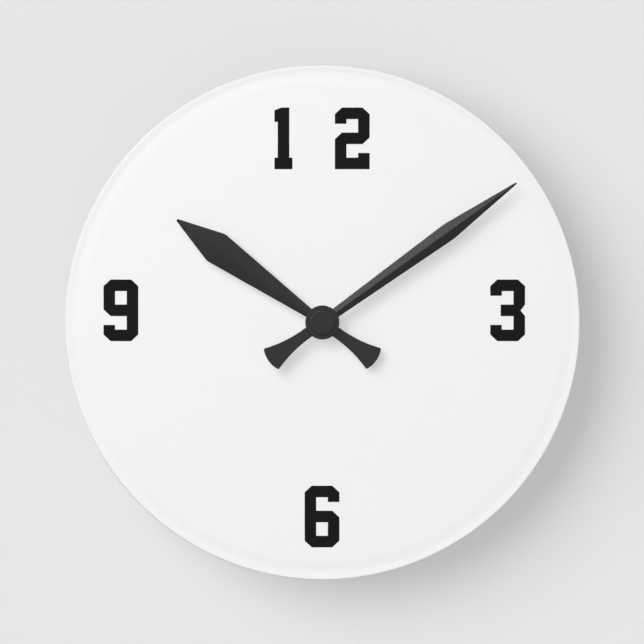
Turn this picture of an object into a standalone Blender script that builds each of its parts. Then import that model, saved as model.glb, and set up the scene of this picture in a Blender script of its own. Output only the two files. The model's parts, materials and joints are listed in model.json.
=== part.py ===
"""Round wall clock with two hands and a battery quartz movement.

The clock is laid out face up: x to the right, y towards twelve o'clock and z out from
the wall, with z = 0 on the flat back of the movement and x = y = 0 on the hands' axis.
The empty "upright" stands it up, so that in the world +Z is up and the dial faces -Y.
"""
import math

import bmesh
import bpy
from mathutils import Matrix, Vector

MM = 0.001

# --- dial -----------------------------------------------------------------------
DIAL_DIAMETER = 203.2 * MM
DIAL_THICKNESS = 6.35 * MM
DIAL_EDGE_RADIUS = 1.1 * MM
DIAL_BACK_CHAMFER = 0.4 * MM
DIAL_STEPS = 80
EDGE_ARC_POINTS = 4
RIM_GROOVE_START = 7.4 * MM
RIM_GROOVE_LOWEST = 3.2 * MM
RIM_GROOVE_DEPTH = 0.3 * MM
RIM_GROOVE_POINTS = 4
CENTRE_HOLE_RADIUS = 4.3 * MM

# --- printed numerals -----------------------------------------------------------
# the cuts are those of the digits' outer corners
DIGIT_HEIGHT = 24.3 * MM
DIGIT_WIDTH = 13.7 * MM
DIGIT_ONE_WIDTH = 7.1 * MM
DIGIT_STROKE = 4.55 * MM
DIGIT_CUT_X = 2.8 * MM
DIGIT_CUT_Y = 2.6 * MM
DIGIT_ARM = 6.4 * MM
INK_THICKNESS = 0.12 * MM
INK_GAP = 0.02 * MM

# --- hands ----------------------------------------------------------------------
MINUTE_ANGLE = 54.2
HOUR_ANGLE = -54.5
MINUTE_REACH = 94.0 * MM
HOUR_REACH = 70.0 * MM
TAIL_REACH = 25.8 * MM
TAIL_END_HALF_WIDTH = 4.95 * MM
TAIL_HUB_HALF_WIDTH = 2.1 * MM
TAIL_END_BULGE = 1.2 * MM
HUB_RADIUS = 6.7 * MM
CAP_RADIUS = 4.95 * MM
CAP_BEVEL = 0.5 * MM

# --- movement case --------------------------------------------------------------
CASE_SIDE = 56.0 * MM
CASE_DEPTH = 16.0 * MM
CASE_WALL = 1.2 * MM
CASE_CORNER = 3.0 * MM
SEAM_LOW = 7.9 * MM
SEAM_HIGH = 8.2 * MM
INSIDE_FRONT = CASE_DEPTH - CASE_WALL
INNER_SIDE = CASE_SIDE - 2 * CASE_WALL
LATCH_ROWS = (-16.0 * MM, 16.0 * MM)
TONGUE_WIDTH = 7.8 * MM
TONGUE_THICKNESS = 0.55 * MM
TONGUE_HIGH = 12.8 * MM
RIB = 0.8 * MM

# --- stack through the dial, as heights above the wall ---------------------------
FLAT_GAP = 0.05 * MM
GASKET_LOW = CASE_DEPTH + FLAT_GAP
GASKET_HIGH = GASKET_LOW + 1.0 * MM
DIAL_LOW = GASKET_HIGH + FLAT_GAP
DIAL_HIGH = DIAL_LOW + DIAL_THICKNESS
WASHER_LOW = DIAL_HIGH + FLAT_GAP
WASHER_HIGH = WASHER_LOW + 0.5 * MM
NUT_LOW = WASHER_HIGH + FLAT_GAP
NUT_HIGH = NUT_LOW + 2.2 * MM
BUSHING_HIGH = NUT_HIGH + 0.4 * MM
HOUR_HUB_LOW = BUSHING_HIGH + 0.4 * MM
HOUR_HUB_HIGH = HOUR_HUB_LOW + 1.3 * MM
MINUTE_HUB_LOW = HOUR_HUB_HIGH + 0.9 * MM
MINUTE_HUB_HIGH = MINUTE_HUB_LOW + 1.5 * MM
CAP_LOW = MINUTE_HUB_HIGH + FLAT_GAP
CAP_HIGH = CAP_LOW + 1.2 * MM

# --- what clamps the movement to the dial ------------------------------------------
GASKET_RADIUS = 12.0 * MM
WASHER_RADIUS = 6.3 * MM
NUT_CORNER_RADIUS = 6.3 * MM

# --- coaxial shafts, from the outside in ------------------------------------------
BUSHING_RADIUS = 4.0 * MM
BUSHING_BORE = 3.0 * MM
PIPE_RADIUS = 2.6 * MM
PIPE_BORE = 1.9 * MM
ARBOR_RADIUS = 1.5 * MM
SEAT_GAP = 0.1 * MM

# --- gear train -------------------------------------------------------------------
CANNON_TEETH = 10
MINUTE_WHEEL_TEETH = 30
MINUTE_PINION_TEETH = 8
HOUR_WHEEL_TEETH = 32
CENTRE_TEETH = 48
THIRD_TEETH = 45
FOURTH_TEETH = 36
FIFTH_TEETH = 30
PINION_TEETH = 6
MOTION_MODULE = 0.675 * MM
CENTRE_MODULE = 0.45 * MM
# the fourth wheel turns on the hands' axis, so both meshes of the third wheel span one distance
THIRD_MODULE = CENTRE_MODULE * (CENTRE_TEETH + PINION_TEETH) / (THIRD_TEETH + PINION_TEETH)
FOURTH_MODULE = 0.48 * MM
FIFTH_MODULE = 0.45 * MM
PIVOT_RADIUS = 0.5 * MM
PIVOT_HOLE = 0.75 * MM
ARBOR_HOLE = 1.2 * MM
TRAIN_ARBOR = 0.8 * MM
# a tooth's flank, from root to tip: (height from the pitch circle, half width) in modules
WHEEL_FLANK = ((-1.15, 0.95), (0.85, 0.30))
PINION_FLANK = ((-1.1, 0.4), (-0.1, 0.5), (0.7, 0.25))

# heights of the layers that the wheels turn in
ROTOR_LAYER = (5.6 * MM, 6.5 * MM)
FOURTH_LAYER = (6.9 * MM, 7.7 * MM)
THIRD_LAYER = (8.1 * MM, 8.9 * MM)
CENTRE_LAYER = (10.7 * MM, 11.5 * MM)
CANNON_LAYER = (11.9 * MM, 12.9 * MM)
HOUR_LAYER = (13.3 * MM, 14.4 * MM)
BRIDGE_LAYER = (4.3 * MM, 5.2 * MM)
PLATE_LAYER = (9.3 * MM, 10.3 * MM)
STATOR_LAYER = (8.0 * MM, 8.8 * MM)
CORE_LAYER = (7.0 * MM, 7.95 * MM)
BOARD_LAYER = (8.1 * MM, 9.1 * MM)
FRONT_PIVOT_HIGH = 15.2 * MM
REAR_PIVOT_LOW = 4.5 * MM

# --- setting knob -----------------------------------------------------------------
KNOB_RADIUS = 6.6 * MM
KNOB_RIBS = 20
KNOB_LOW = 0.5 * MM
KNOB_HIGH = 3.4 * MM
WELL_RADIUS = 7.3 * MM
WELL_FLOOR = (3.7 * MM, 4.7 * MM)
WELL_WALL = 1.0 * MM
KNOB_ARBOR = 1.2 * MM
KNOB_GROOVE_DEPTH = 1.3 * MM
KNOB_SOCKET_LOW = KNOB_LOW + 1.6 * MM

# --- battery, an AA cell lying along x ----------------------------------------------
CELL_RADIUS = 7.05 * MM
CELL_LENGTH = 50.5 * MM
CELL_LEFT = -24.6 * MM
CELL_Y = -19.4 * MM
CELL_HEIGHT = 7.4 * MM
CELL_NUB_RADIUS = 2.75 * MM
CELL_NUB_LENGTH = 1.05 * MM
BAY_TOP = -12.1 * MM
BAY_HALF_WIDTH = 26.4 * MM
FINGER_NOTCH_X = -14.0 * MM
FINGER_NOTCH_RADIUS = 4.5 * MM
STRIP = 0.35 * MM
STRIP_LAYER = (4.0 * MM, 8.05 * MM)

# --- hanger -------------------------------------------------------------------------
HANGER_LAYER = (1.5 * MM, 3.5 * MM)
HANGER_TOP = 41.0 * MM
HANGER_HALF_WIDTH = 9.0 * MM
HANGER_NECK = 6.6 * MM
LOOP_RADIUS = 5.4 * MM
LOOP_Y = 33.6 * MM
LOOP_FLATTENING = 0.62
NOTCH_RADIUS = 1.9 * MM
NOTCH_Y = 37.0 * MM


def polar(radius, degrees):
    """A point at a radius, with the angle counted anticlockwise from +x."""
    a = math.radians(degrees)
    return Vector((radius * math.cos(a), radius * math.sin(a)))


# --- gear centres -------------------------------------------------------------------
CENTRE_XY = Vector((0.0, 0.0))
KNOB_XY = polar((CANNON_TEETH + MINUTE_WHEEL_TEETH) * MOTION_MODULE / 2, 30.0)
THIRD_XY = polar((CENTRE_TEETH + PINION_TEETH) * CENTRE_MODULE / 2, 164.6)
FIFTH_XY = polar((FOURTH_TEETH + PINION_TEETH) * FOURTH_MODULE / 2, 100.0)
ROTOR_XY = FIFTH_XY + polar((FIFTH_TEETH + PINION_TEETH) * FIFTH_MODULE / 2, 70.0)

# --- stepping motor -----------------------------------------------------------------
COIL_Y = 22.3 * MM
LUG_LEFT_X = -23.9 * MM
LUG_RIGHT_X = -5.2 * MM
LUGS = ((LUG_LEFT_X, COIL_Y), (LUG_RIGHT_X, COIL_Y))
ROTOR_HOLE = 3.5 * MM
MAGNET_RADIUS = 3.0 * MM

# posts that stand on the shell and carry the plates and the board
POST_RADIUS = 1.3 * MM
PILLAR_RADIUS = 1.2 * MM
SHARED_POSTS = ((-24.0 * MM, -7.0 * MM), (-20.0 * MM, 13.2 * MM))
PLATE_POSTS = (*SHARED_POSTS, (19.5 * MM, -8.0 * MM))
BRIDGE_POSTS = (*SHARED_POSTS, (0.5 * MM, -7.0 * MM))
BOARD_POSTS = ((10.5 * MM, 24.4 * MM), (23.6 * MM, 18.0 * MM))
JOIN_OVERLAP = 0.1 * MM

# the two screws that hold the stator and the coil's core
SCREW_HEAD_RADIUS = 1.6 * MM
SCREW_SHANK_RADIUS = 0.7 * MM
SCREW_HOLE = 0.95 * MM
SCREW_POST_RADIUS = 1.8 * MM


# --- scene set-up -------------------------------------------------------------------
def clear_scene():
    for obj in list(bpy.data.objects):
        bpy.data.objects.remove(obj, do_unlink=True)


def new_collection(name):
    collection = bpy.data.collections.new(name)
    bpy.context.scene.collection.children.link(collection)
    return collection


def new_empty(name, parent=None, x=0.0, y=0.0, turn=0.0):
    """An empty on an axis; turn is in degrees clockwise as seen from the front."""
    empty = bpy.data.objects.new(name, None)
    CLOCK.objects.link(empty)
    empty.parent = parent
    empty.location = (x, y, 0.0)
    empty.rotation_euler = (0.0, 0.0, -math.radians(turn))
    return empty


def material(name, colour, roughness, metallic=0.0):
    mat = bpy.data.materials.new(name)
    mat.use_nodes = True
    shader = mat.node_tree.nodes["Principled BSDF"]
    shader.inputs["Base Color"].default_value = (*colour, 1.0)
    shader.inputs["Roughness"].default_value = roughness
    shader.inputs["Metallic"].default_value = metallic
    mat.diffuse_color = (*colour, 1.0)
    return mat


clear_scene()
CLOCK = new_collection("wall_clock")
CUTTERS = new_collection("cutters")
UPRIGHT = new_empty("upright")
UPRIGHT.rotation_euler = (math.radians(90.0), 0.0, 0.0)

WHITE_ACRYLIC = material("white_acrylic", (0.86, 0.86, 0.86), 0.22)
BLACK_INK = material("black_ink", (0.013, 0.013, 0.013), 0.55)
HAND_PLASTIC = material("hand_plastic", (0.04, 0.04, 0.043), 0.38)
CASE_PLASTIC = material("case_plastic", (0.022, 0.022, 0.024), 0.5)
KNOB_PLASTIC = material("knob_plastic", (0.05, 0.05, 0.055), 0.45)
GEAR_PLASTIC = material("gear_plastic", (0.75, 0.74, 0.70), 0.45)
BRASS = material("brass", (0.78, 0.57, 0.25), 0.3, 1.0)
STEEL = material("steel", (0.62, 0.62, 0.64), 0.32, 1.0)
SPRING_STEEL = material("spring_steel", (0.7, 0.7, 0.72), 0.25, 1.0)
RUBBER = material("rubber", (0.02, 0.02, 0.02), 0.8)
COPPER = material("copper_wire", (0.72, 0.32, 0.14), 0.35, 1.0)
BOARD_GREEN = material("board_green", (0.02, 0.16, 0.07), 0.45)
CHIP_RESIN = material("chip_resin", (0.012, 0.012, 0.012), 0.35)
MAGNET_GREY = material("magnet_grey", (0.12, 0.12, 0.13), 0.5, 0.6)
SLEEVE_GREEN = material("battery_sleeve", (0.03, 0.20, 0.12), 0.35)


# --- shapes: each returns a bmesh ----------------------------------------------------
def disc(radius, low, high, xy=(0.0, 0.0), sides=32, top_radius=None):
    """A cylinder, cone or prism standing on z = low."""
    bm = bmesh.new()
    centre = Matrix.Translation((xy[0], xy[1], (low + high) / 2))
    bmesh.ops.create_cone(
        bm,
        cap_ends=True,
        segments=sides,
        radius1=radius,
        radius2=radius if top_radius is None else top_radius,
        depth=high - low,
        matrix=centre,
    )
    return bm


def block(width, height, low, high, xy=(0.0, 0.0), corner=0.0, rim=0.0):
    """A box; corner rounds its upright edges and rim its front outline."""
    bm = bmesh.new()
    size = Matrix.Diagonal((width, height, high - low, 1.0))
    centre = Matrix.Translation((xy[0], xy[1], (low + high) / 2))
    bmesh.ops.create_cube(bm, size=1.0, matrix=centre @ size)
    if corner:
        upright_edges = [
            e for e in bm.edges if abs(e.verts[0].co.z - e.verts[1].co.z) > (high - low) / 2
        ]
        bmesh.ops.bevel(
            bm, geom=upright_edges, offset=corner, segments=3, profile=0.5, affect="EDGES"
        )
    if rim:
        front_edges = [e for e in bm.edges if all(v.co.z > high - 1e-7 for v in e.verts)]
        bmesh.ops.bevel(
            bm, geom=front_edges, offset=rim, segments=2, profile=0.5, affect="EDGES"
        )
    return bm


def outline_curve(name, outlines, low, high):
    """A flat outline, or an outline and its holes, as a filled 2D curve."""
    curve = bpy.data.curves.new(name, "CURVE")
    curve.dimensions = "2D"
    curve.fill_mode = "BOTH"
    curve.extrude = (high - low) / 2
    for points in outlines:
        spline = curve.splines.new("POLY")
        spline.points.add(len(points) - 1)
        for point, (x, y) in zip(spline.points, points):
            point.co = (x, y, 0.0, 1.0)
        spline.use_cyclic_u = True
    obj = bpy.data.objects.new(name, curve)
    CLOCK.objects.link(obj)
    obj.location.z = (low + high) / 2
    return obj


def outline_solid(outlines, low, high):
    """The same shape as a closed mesh, for pieces that are cut or joined."""
    obj = outline_curve("outline", outlines, low, high)
    depsgraph = bpy.context.evaluated_depsgraph_get()
    mesh = bpy.data.meshes.new_from_object(obj.evaluated_get(depsgraph))
    bm = bmesh.new()
    bm.from_mesh(mesh)
    bmesh.ops.translate(bm, verts=bm.verts, vec=(0.0, 0.0, (low + high) / 2))
    bmesh.ops.remove_doubles(bm, verts=bm.verts, dist=1e-7)
    bpy.data.objects.remove(obj, do_unlink=True)
    bpy.data.meshes.remove(mesh)
    return bm


def gear_outline(teeth, module, flank, phase=0.0):
    """Outline of a gear; phase is the angle of one tooth's middle, in radians."""
    points = []
    for tooth in range(teeth):
        middle = phase + 2 * math.pi * tooth / teeth
        for side, rows in ((-1, flank), (1, flank[::-1])):
            for height, half_width in rows:
                radius = (teeth / 2 + height) * module
                angle = middle + side * half_width * module / radius
                points.append((radius * math.cos(angle), radius * math.sin(angle)))
    return points


def gear(teeth, module, layer, phase=0.0):
    flank = PINION_FLANK if teeth <= CANNON_TEETH else WHEEL_FLANK
    return outline_solid([gear_outline(teeth, module, flank, phase)], *layer)


def meshed_phase(driver_teeth, driver_phase, follower_teeth, direction):
    """Phase that puts a gap of the follower over a tooth of the driver.

    direction is the angle of the line from the driver's centre to the follower's.
    """
    pitch = 2 * math.pi / follower_teeth
    along = (direction - driver_phase) * driver_teeth / (2 * math.pi)
    return direction + math.pi - (0.5 - along) * pitch


def direction_between(a, b):
    return math.atan2(b[1] - a[1], b[0] - a[0])


# --- nodes ----------------------------------------------------------------------------
def part(name, bm, mat, parent=UPRIGHT, smooth=True):
    """A named node made from a bmesh."""
    mesh = bpy.data.meshes.new(name)
    bm.to_mesh(mesh)
    bm.free()
    mesh.materials.append(mat)
    if smooth:
        mesh.shade_smooth()
        mesh.set_sharp_from_angle(angle=math.radians(35.0))
    obj = bpy.data.objects.new(name, mesh)
    CLOCK.objects.link(obj)
    obj.parent = parent
    return obj


def combine(target, bm, operation):
    """Cut a shape out of a node, or join it on, with a Boolean modifier."""
    mesh = bpy.data.meshes.new(f"{target.name}_tool")
    bm.to_mesh(mesh)
    bm.free()
    tool = bpy.data.objects.new(mesh.name, mesh)
    CUTTERS.objects.link(tool)
    tool.parent = target.parent
    tool.location = target.location
    tool.hide_render = True
    tool.display_type = "WIRE"
    modifier = target.modifiers.new(operation.lower(), "BOOLEAN")
    modifier.operation = operation
    modifier.solver = "EXACT"
    modifier.object = tool


def cut(target, *shapes):
    for bm in shapes:
        combine(target, bm, "DIFFERENCE")


def join(target, *shapes):
    for bm in shapes:
        combine(target, bm, "UNION")


def turned(name, profile, mat, parent=UPRIGHT, steps=32):
    """A node turned about z; profile is (radius, height), its outer side from top to bottom."""
    mesh = bpy.data.meshes.new(name)
    points = [(radius, 0.0, height) for radius, height in profile]
    closed = profile[0][0] > 0
    count = len(points)
    edges = [(i, (i + 1) % count) for i in range(count if closed else count - 1)]
    mesh.from_pydata(points, edges, [])
    mesh.materials.append(mat)
    obj = bpy.data.objects.new(name, mesh)
    CLOCK.objects.link(obj)
    obj.parent = parent
    screw = obj.modifiers.new("turn", "SCREW")
    screw.axis = "Z"
    screw.angle = 2 * math.pi
    screw.steps = steps
    screw.render_steps = steps
    screw.use_merge_vertices = True
    screw.merge_threshold = 0.00001
    screw.use_smooth_shade = True
    return obj


def tube_wire(name, points, radius, mat, parent=UPRIGHT):
    """A wire along a list of points."""
    curve = bpy.data.curves.new(name, "CURVE")
    curve.dimensions = "3D"
    curve.bevel_depth = radius
    curve.bevel_resolution = 2
    curve.use_fill_caps = True
    spline = curve.splines.new("POLY")
    spline.points.add(len(points) - 1)
    for point, co in zip(spline.points, points):
        point.co = (*co, 1.0)
    curve.materials.append(mat)
    obj = bpy.data.objects.new(name, curve)
    CLOCK.objects.link(obj)
    obj.parent = parent
    return obj


def strip(name, path, layer, mat):
    """A thin metal strip that stands on edge and follows a path in x and y."""
    bm = bmesh.new()
    low_row = [bm.verts.new((x, y, layer[0])) for x, y in path]
    edges = [bm.edges.new(pair) for pair in zip(low_row, low_row[1:])]
    pulled = bmesh.ops.extrude_edge_only(bm, edges=edges)
    rise = [v for v in pulled["geom"] if isinstance(v, bmesh.types.BMVert)]
    bmesh.ops.translate(bm, verts=rise, vec=(0.0, 0.0, layer[1] - layer[0]))
    obj = part(name, bm, mat, smooth=False)
    solidify = obj.modifiers.new("thickness", "SOLIDIFY")
    solidify.thickness = STRIP
    solidify.offset = 0.0
    solidify.use_even_offset = True
    return obj


def loft(sections):
    """A closed skin through sections that have the same number of points each."""
    bm = bmesh.new()
    rings = [[bm.verts.new(point) for point in section] for section in sections]
    for ring, following in zip(rings, rings[1:]):
        for i in range(len(ring)):
            j = (i + 1) % len(ring)
            bm.faces.new((ring[i], ring[j], following[j], following[i]))
    bm.faces.new(rings[0][::-1])
    bm.faces.new(rings[-1])
    bmesh.ops.recalc_face_normals(bm, faces=bm.faces)
    return bm


# --- dial and numerals ------------------------------------------------------------------
def groove_points(radius, start, end, rise):
    """Half of the shallow rim groove; start and end are distances inside the edge."""
    points = []
    for i in range(RIM_GROOVE_POINTS + 1):
        t = i / RIM_GROOVE_POINTS
        part = (1 - math.cos(math.pi * t)) / 2
        depth = 1 - part if rise else part
        points.append((radius - start - (end - start) * t, DIAL_HIGH - RIM_GROOVE_DEPTH * depth))
    return points


def make_dial():
    radius = DIAL_DIAMETER / 2
    profile = [(CENTRE_HOLE_RADIUS, DIAL_HIGH)]
    profile += groove_points(radius, RIM_GROOVE_START, RIM_GROOVE_LOWEST, rise=False)
    profile += groove_points(radius, RIM_GROOVE_LOWEST, DIAL_EDGE_RADIUS, rise=True)[1:-1]
    for i in range(EDGE_ARC_POINTS + 1):
        a = math.radians(90.0 * (1 - i / EDGE_ARC_POINTS))
        profile.append(
            (
                radius - DIAL_EDGE_RADIUS * (1 - math.cos(a)),
                DIAL_HIGH - DIAL_EDGE_RADIUS * (1 - math.sin(a)),
            )
        )
    profile += [
        (radius, DIAL_LOW + DIAL_BACK_CHAMFER),
        (radius - DIAL_BACK_CHAMFER, DIAL_LOW),
        (CENTRE_HOLE_RADIUS, DIAL_LOW),
    ]
    turned("dial", profile, WHITE_ACRYLIC, steps=DIAL_STEPS)


def digit_two():
    """Outline of the 2, from its lower left corner, y up."""
    w, h, s = DIGIT_WIDTH, DIGIT_HEIGHT, DIGIT_STROKE
    cx, cy = DIGIT_CUT_X, DIGIT_CUT_Y
    middle = h / 2
    arm = h - DIGIT_ARM
    serif = DIGIT_ARM
    return [
        (0, 0),
        (w, 0),
        (w, serif),
        (w - s, serif),
        (w - s, s),
        (s, s),
        (s, middle - s / 2),
        (w - cx, middle - s / 2),
        (w, middle - s / 2 + cy),
        (w, h - cy),
        (w - cx, h),
        (cx, h),
        (0, h - cy),
        (0, arm),
        (s, arm),
        (s, h - s),
        (w - s, h - s),
        (w - s, middle + s / 2),
        (cx, middle + s / 2),
        (0, middle + s / 2 - cy),
    ]


def digit_three():
    """Outline of the 3; the lower half mirrors the upper half."""
    w, h, s = DIGIT_WIDTH, DIGIT_HEIGHT, DIGIT_STROKE
    cx, cy = DIGIT_CUT_X, DIGIT_CUT_Y
    middle = h / 2
    arm = h - DIGIT_ARM
    bar_left = 4.1 * MM
    notch = 1.75 * MM
    upper = [
        (w - notch, middle),
        (w, middle + s / 2),
        (w, h - cy),
        (w - cx, h),
        (cx, h),
        (0, h - cy),
        (0, arm),
        (s, arm),
        (s, h - s),
        (w - s, h - s),
        (w - s, middle + s / 2),
        (bar_left, middle + s / 2),
    ]
    return upper + [(x, h - y) for x, y in upper[:0:-1]]


def digit_nine():
    """Outline of the 9 and the hole in its bowl."""
    w, h, s = DIGIT_WIDTH, DIGIT_HEIGHT, DIGIT_STROKE
    cx, cy = DIGIT_CUT_X, DIGIT_CUT_Y
    middle = h / 2
    outer = [
        (cx, 0),
        (w - cx, 0),
        (w, cy),
        (w, h - cy),
        (w - cx, h),
        (cx, h),
        (0, h - cy),
        (0, middle - s / 2 + cy),
        (cx, middle - s / 2),
        (w - s, middle - s / 2),
        (w - s, s),
        (s, s),
        (s, DIGIT_ARM),
        (0, DIGIT_ARM),
        (0, cy),
    ]
    hole = [
        (s, middle + s / 2),
        (w - s, middle + s / 2),
        (w - s, h - s),
        (s, h - s),
    ]
    return [outer, hole]


def digit_one():
    """Outline of the 1, which is narrower than the other digits."""
    w, h, s = DIGIT_ONE_WIDTH, DIGIT_HEIGHT, DIGIT_STROKE
    stem_left = 1.3 * MM
    slant = 1.1 * MM
    flag_bottom = h - 5.65 * MM
    return [
        (0, 0),
        (w, 0),
        (w, s),
        (stem_left + s, s),
        (stem_left + s, h),
        (DIGIT_CUT_X, h),
        (0, h - slant),
        (0, flag_bottom),
        (stem_left, flag_bottom),
        (stem_left, s),
        (0, s),
    ]


def turn_over(outlines):
    """The same outlines turned by half a turn about the digit's middle."""
    return [[(DIGIT_WIDTH - x, DIGIT_HEIGHT - y) for x, y in points] for points in outlines]


def make_numerals():
    low = DIAL_HIGH + INK_GAP
    top_row = 60.45 * MM
    side_row = -7.38 * MM
    digits = {
        "numeral_12_one": ([digit_one()], -18.89 * MM, top_row),
        "numeral_12_two": ([digit_two()], 4.95 * MM, top_row),
        "numeral_3": ([digit_three()], 66.23 * MM, side_row),
        "numeral_6": (turn_over(digit_nine()), -6.98 * MM, -88.7 * MM),
        "numeral_9": (digit_nine(), -86.3 * MM, side_row),
    }
    for name, (outlines, left, bottom) in digits.items():
        obj = outline_curve(name, outlines, low, low + INK_THICKNESS)
        obj.data.materials.append(BLACK_INK)
        obj.parent = UPRIGHT
        obj.location.x = left
        obj.location.y = bottom


# --- hands ----------------------------------------------------------------------------
def hand_section(y, half_width, low, edge, ridge):
    """Five points across a hand: flat below, upright edges and a ridge along the middle."""
    return [
        (-half_width, y, low),
        (half_width, y, low),
        (half_width, y, low + edge),
        (0.0, y, low + ridge),
        (-half_width, y, low + edge),
    ]


def tail_half_width(distance):
    """Half width of the tail, which flares and then ends in a shallow arc."""
    corner = TAIL_REACH - TAIL_END_BULGE
    if distance <= corner:
        t = (distance - HUB_RADIUS) / (corner - HUB_RADIUS)
        flare = TAIL_END_HALF_WIDTH - TAIL_HUB_HALF_WIDTH
        return TAIL_HUB_HALF_WIDTH + flare * max(t, 0.0) ** 2.2
    radius = (TAIL_END_HALF_WIDTH**2 + TAIL_END_BULGE**2) / (2 * TAIL_END_BULGE)
    depth = radius - (TAIL_REACH - distance)
    return math.sqrt(max(radius**2 - depth**2, (0.2 * MM) ** 2))


def make_hand(name, axis, low, shoulder, tip, edge, ridge, hub, bore):
    """A hand along +y; shoulder and tip are (distance, half width) of the blade."""
    tail_distances = [TAIL_REACH - TAIL_END_BULGE * k for k in (0.0, 0.12, 0.4, 0.75, 1.0, 1.35)]
    tail_distances += [23.0 * MM, 20.5 * MM, 17.5 * MM, 13.5 * MM, 9.5 * MM, HUB_RADIUS]
    sections = []
    for distance in tail_distances:
        width = tail_half_width(distance)
        if distance == TAIL_REACH - TAIL_END_BULGE:
            width -= 0.12 * MM
        sections.append(hand_section(-distance, width, low, edge, edge * 1.02))
    hub_half_width = 1.95 * MM
    soft = 1.6 * MM
    rise = (shoulder[1] - hub_half_width) / (shoulder[0] - HUB_RADIUS)
    fall = (shoulder[1] - tip[1]) / (tip[0] - shoulder[0])
    blade = [
        (HUB_RADIUS * 0.8, hub_half_width, edge * 1.02),
        (HUB_RADIUS * 1.05, hub_half_width, ridge),
        (shoulder[0] - soft, shoulder[1] - soft * rise, ridge),
        (shoulder[0], shoulder[1] - soft * (rise + fall) * 0.25, ridge),
        (shoulder[0] + soft, shoulder[1] - soft * fall, ridge),
        (tip[0], tip[1], edge * 1.1),
    ]
    sections += [hand_section(y, width, low, edge, top) for y, width, top in blade]
    hand = part(name, loft(sections), HAND_PLASTIC, axis, smooth=False)
    join(hand, disc(HUB_RADIUS, hub[0], hub[1], sides=40))
    cut(hand, bore)
    return hand


def make_hands(hour_axis, minute_axis):
    hour_low = HOUR_HUB_LOW + 0.2 * MM
    minute_low = MINUTE_HUB_LOW + 0.2 * MM
    hour_bore = disc(PIPE_RADIUS + SEAT_GAP, HOUR_HUB_LOW - MM, HOUR_HUB_HIGH + MM)
    minute_bore = disc(ARBOR_RADIUS + SEAT_GAP, MINUTE_HUB_LOW - MM, MINUTE_HUB_HIGH + MM)
    make_hand(
        "hour_hand",
        hour_axis,
        hour_low,
        shoulder=(51.2 * MM, 6.3 * MM),
        tip=(HOUR_REACH, 0.35 * MM),
        edge=0.5 * MM,
        ridge=1.05 * MM,
        hub=(HOUR_HUB_LOW, HOUR_HUB_HIGH),
        bore=hour_bore,
    )
    make_hand(
        "minute_hand",
        minute_axis,
        minute_low,
        shoulder=(61.2 * MM, 3.4 * MM),
        tip=(MINUTE_REACH, 0.2 * MM),
        edge=0.5 * MM,
        ridge=1.05 * MM,
        hub=(MINUTE_HUB_LOW, MINUTE_HUB_HIGH),
        bore=minute_bore,
    )
    cap_profile = [
        (0.0, CAP_HIGH),
        (CAP_RADIUS - CAP_BEVEL, CAP_HIGH),
        (CAP_RADIUS, CAP_HIGH - CAP_BEVEL),
        (CAP_RADIUS, CAP_LOW),
        (0.0, CAP_LOW),
    ]
    turned("hub_cap", cap_profile, HAND_PLASTIC, minute_axis, steps=40)


# --- what holds the movement to the dial ------------------------------------------------
def make_fixings():
    gasket = part("rubber_gasket", disc(GASKET_RADIUS, GASKET_LOW, GASKET_HIGH), RUBBER)
    cut(gasket, disc(CENTRE_HOLE_RADIUS, GASKET_LOW - MM, GASKET_HIGH + MM))

    washer = part("dial_washer", disc(WASHER_RADIUS, WASHER_LOW, WASHER_HIGH), BRASS)
    cut(washer, disc(CENTRE_HOLE_RADIUS, WASHER_LOW - MM, WASHER_HIGH + MM))

    hexagon = disc(NUT_CORNER_RADIUS, NUT_LOW, NUT_HIGH, sides=6)
    nut = part("hex_nut", hexagon, BRASS, smooth=False)
    cut(nut, disc(CENTRE_HOLE_RADIUS, NUT_LOW - MM, NUT_HIGH + MM))

    bushing_low = INSIDE_FRONT + FLAT_GAP
    bushing = part("threaded_bushing", disc(BUSHING_RADIUS, bushing_low, BUSHING_HIGH), BRASS)
    cut(bushing, disc(BUSHING_BORE, bushing_low - MM, BUSHING_HIGH + MM))


# --- movement shell -----------------------------------------------------------------------
def make_case():
    case = part(
        "movement_case",
        block(CASE_SIDE, CASE_SIDE, SEAM_HIGH, CASE_DEPTH, corner=CASE_CORNER, rim=0.6 * MM),
        CASE_PLASTIC,
    )
    cut(case, block(INNER_SIDE, INNER_SIDE, SEAM_HIGH - MM, INSIDE_FRONT, corner=CASE_CORNER))
    root = INSIDE_FRONT + JOIN_OVERLAP
    bay_rib = block(50.0 * MM, RIB, 12.0 * MM, root, xy=(0.0, BAY_TOP - MM))
    join(case, bay_rib)
    for xy in PLATE_POSTS:
        join(case, disc(POST_RADIUS, PLATE_LAYER[1] + FLAT_GAP, root, xy, 10))
    for xy in BOARD_POSTS:
        join(case, disc(POST_RADIUS, BOARD_LAYER[1] + FLAT_GAP, root, xy, 10))
    for xy in LUGS:
        screw_post_low = STATOR_LAYER[1] + FLAT_GAP
        join(case, disc(SCREW_POST_RADIUS, screw_post_low, root, xy, 12))
        cut(case, disc(SCREW_HOLE, screw_post_low - MM, screw_post_low + 3 * MM, xy, 12))
    blind_end = FRONT_PIVOT_HIGH + 0.2 * MM
    cut(
        case,
        disc(BUSHING_RADIUS + SEAT_GAP, INSIDE_FRONT - MM, CASE_DEPTH + MM),
        disc(PIVOT_HOLE, INSIDE_FRONT - MM, blind_end, THIRD_XY, 12),
        disc(KNOB_ARBOR + 0.3 * MM, INSIDE_FRONT - MM, blind_end, KNOB_XY, 12),
    )
    slot_width = TONGUE_WIDTH + 0.8 * MM
    slot_high = TONGUE_HIGH + 0.5 * MM
    for side in (-1, 1):
        for y in LATCH_ROWS:
            x = side * (CASE_SIDE / 2)
            cut(case, block(1.4 * MM, slot_width, SEAM_HIGH - MM, slot_high, xy=(x, y)))


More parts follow.
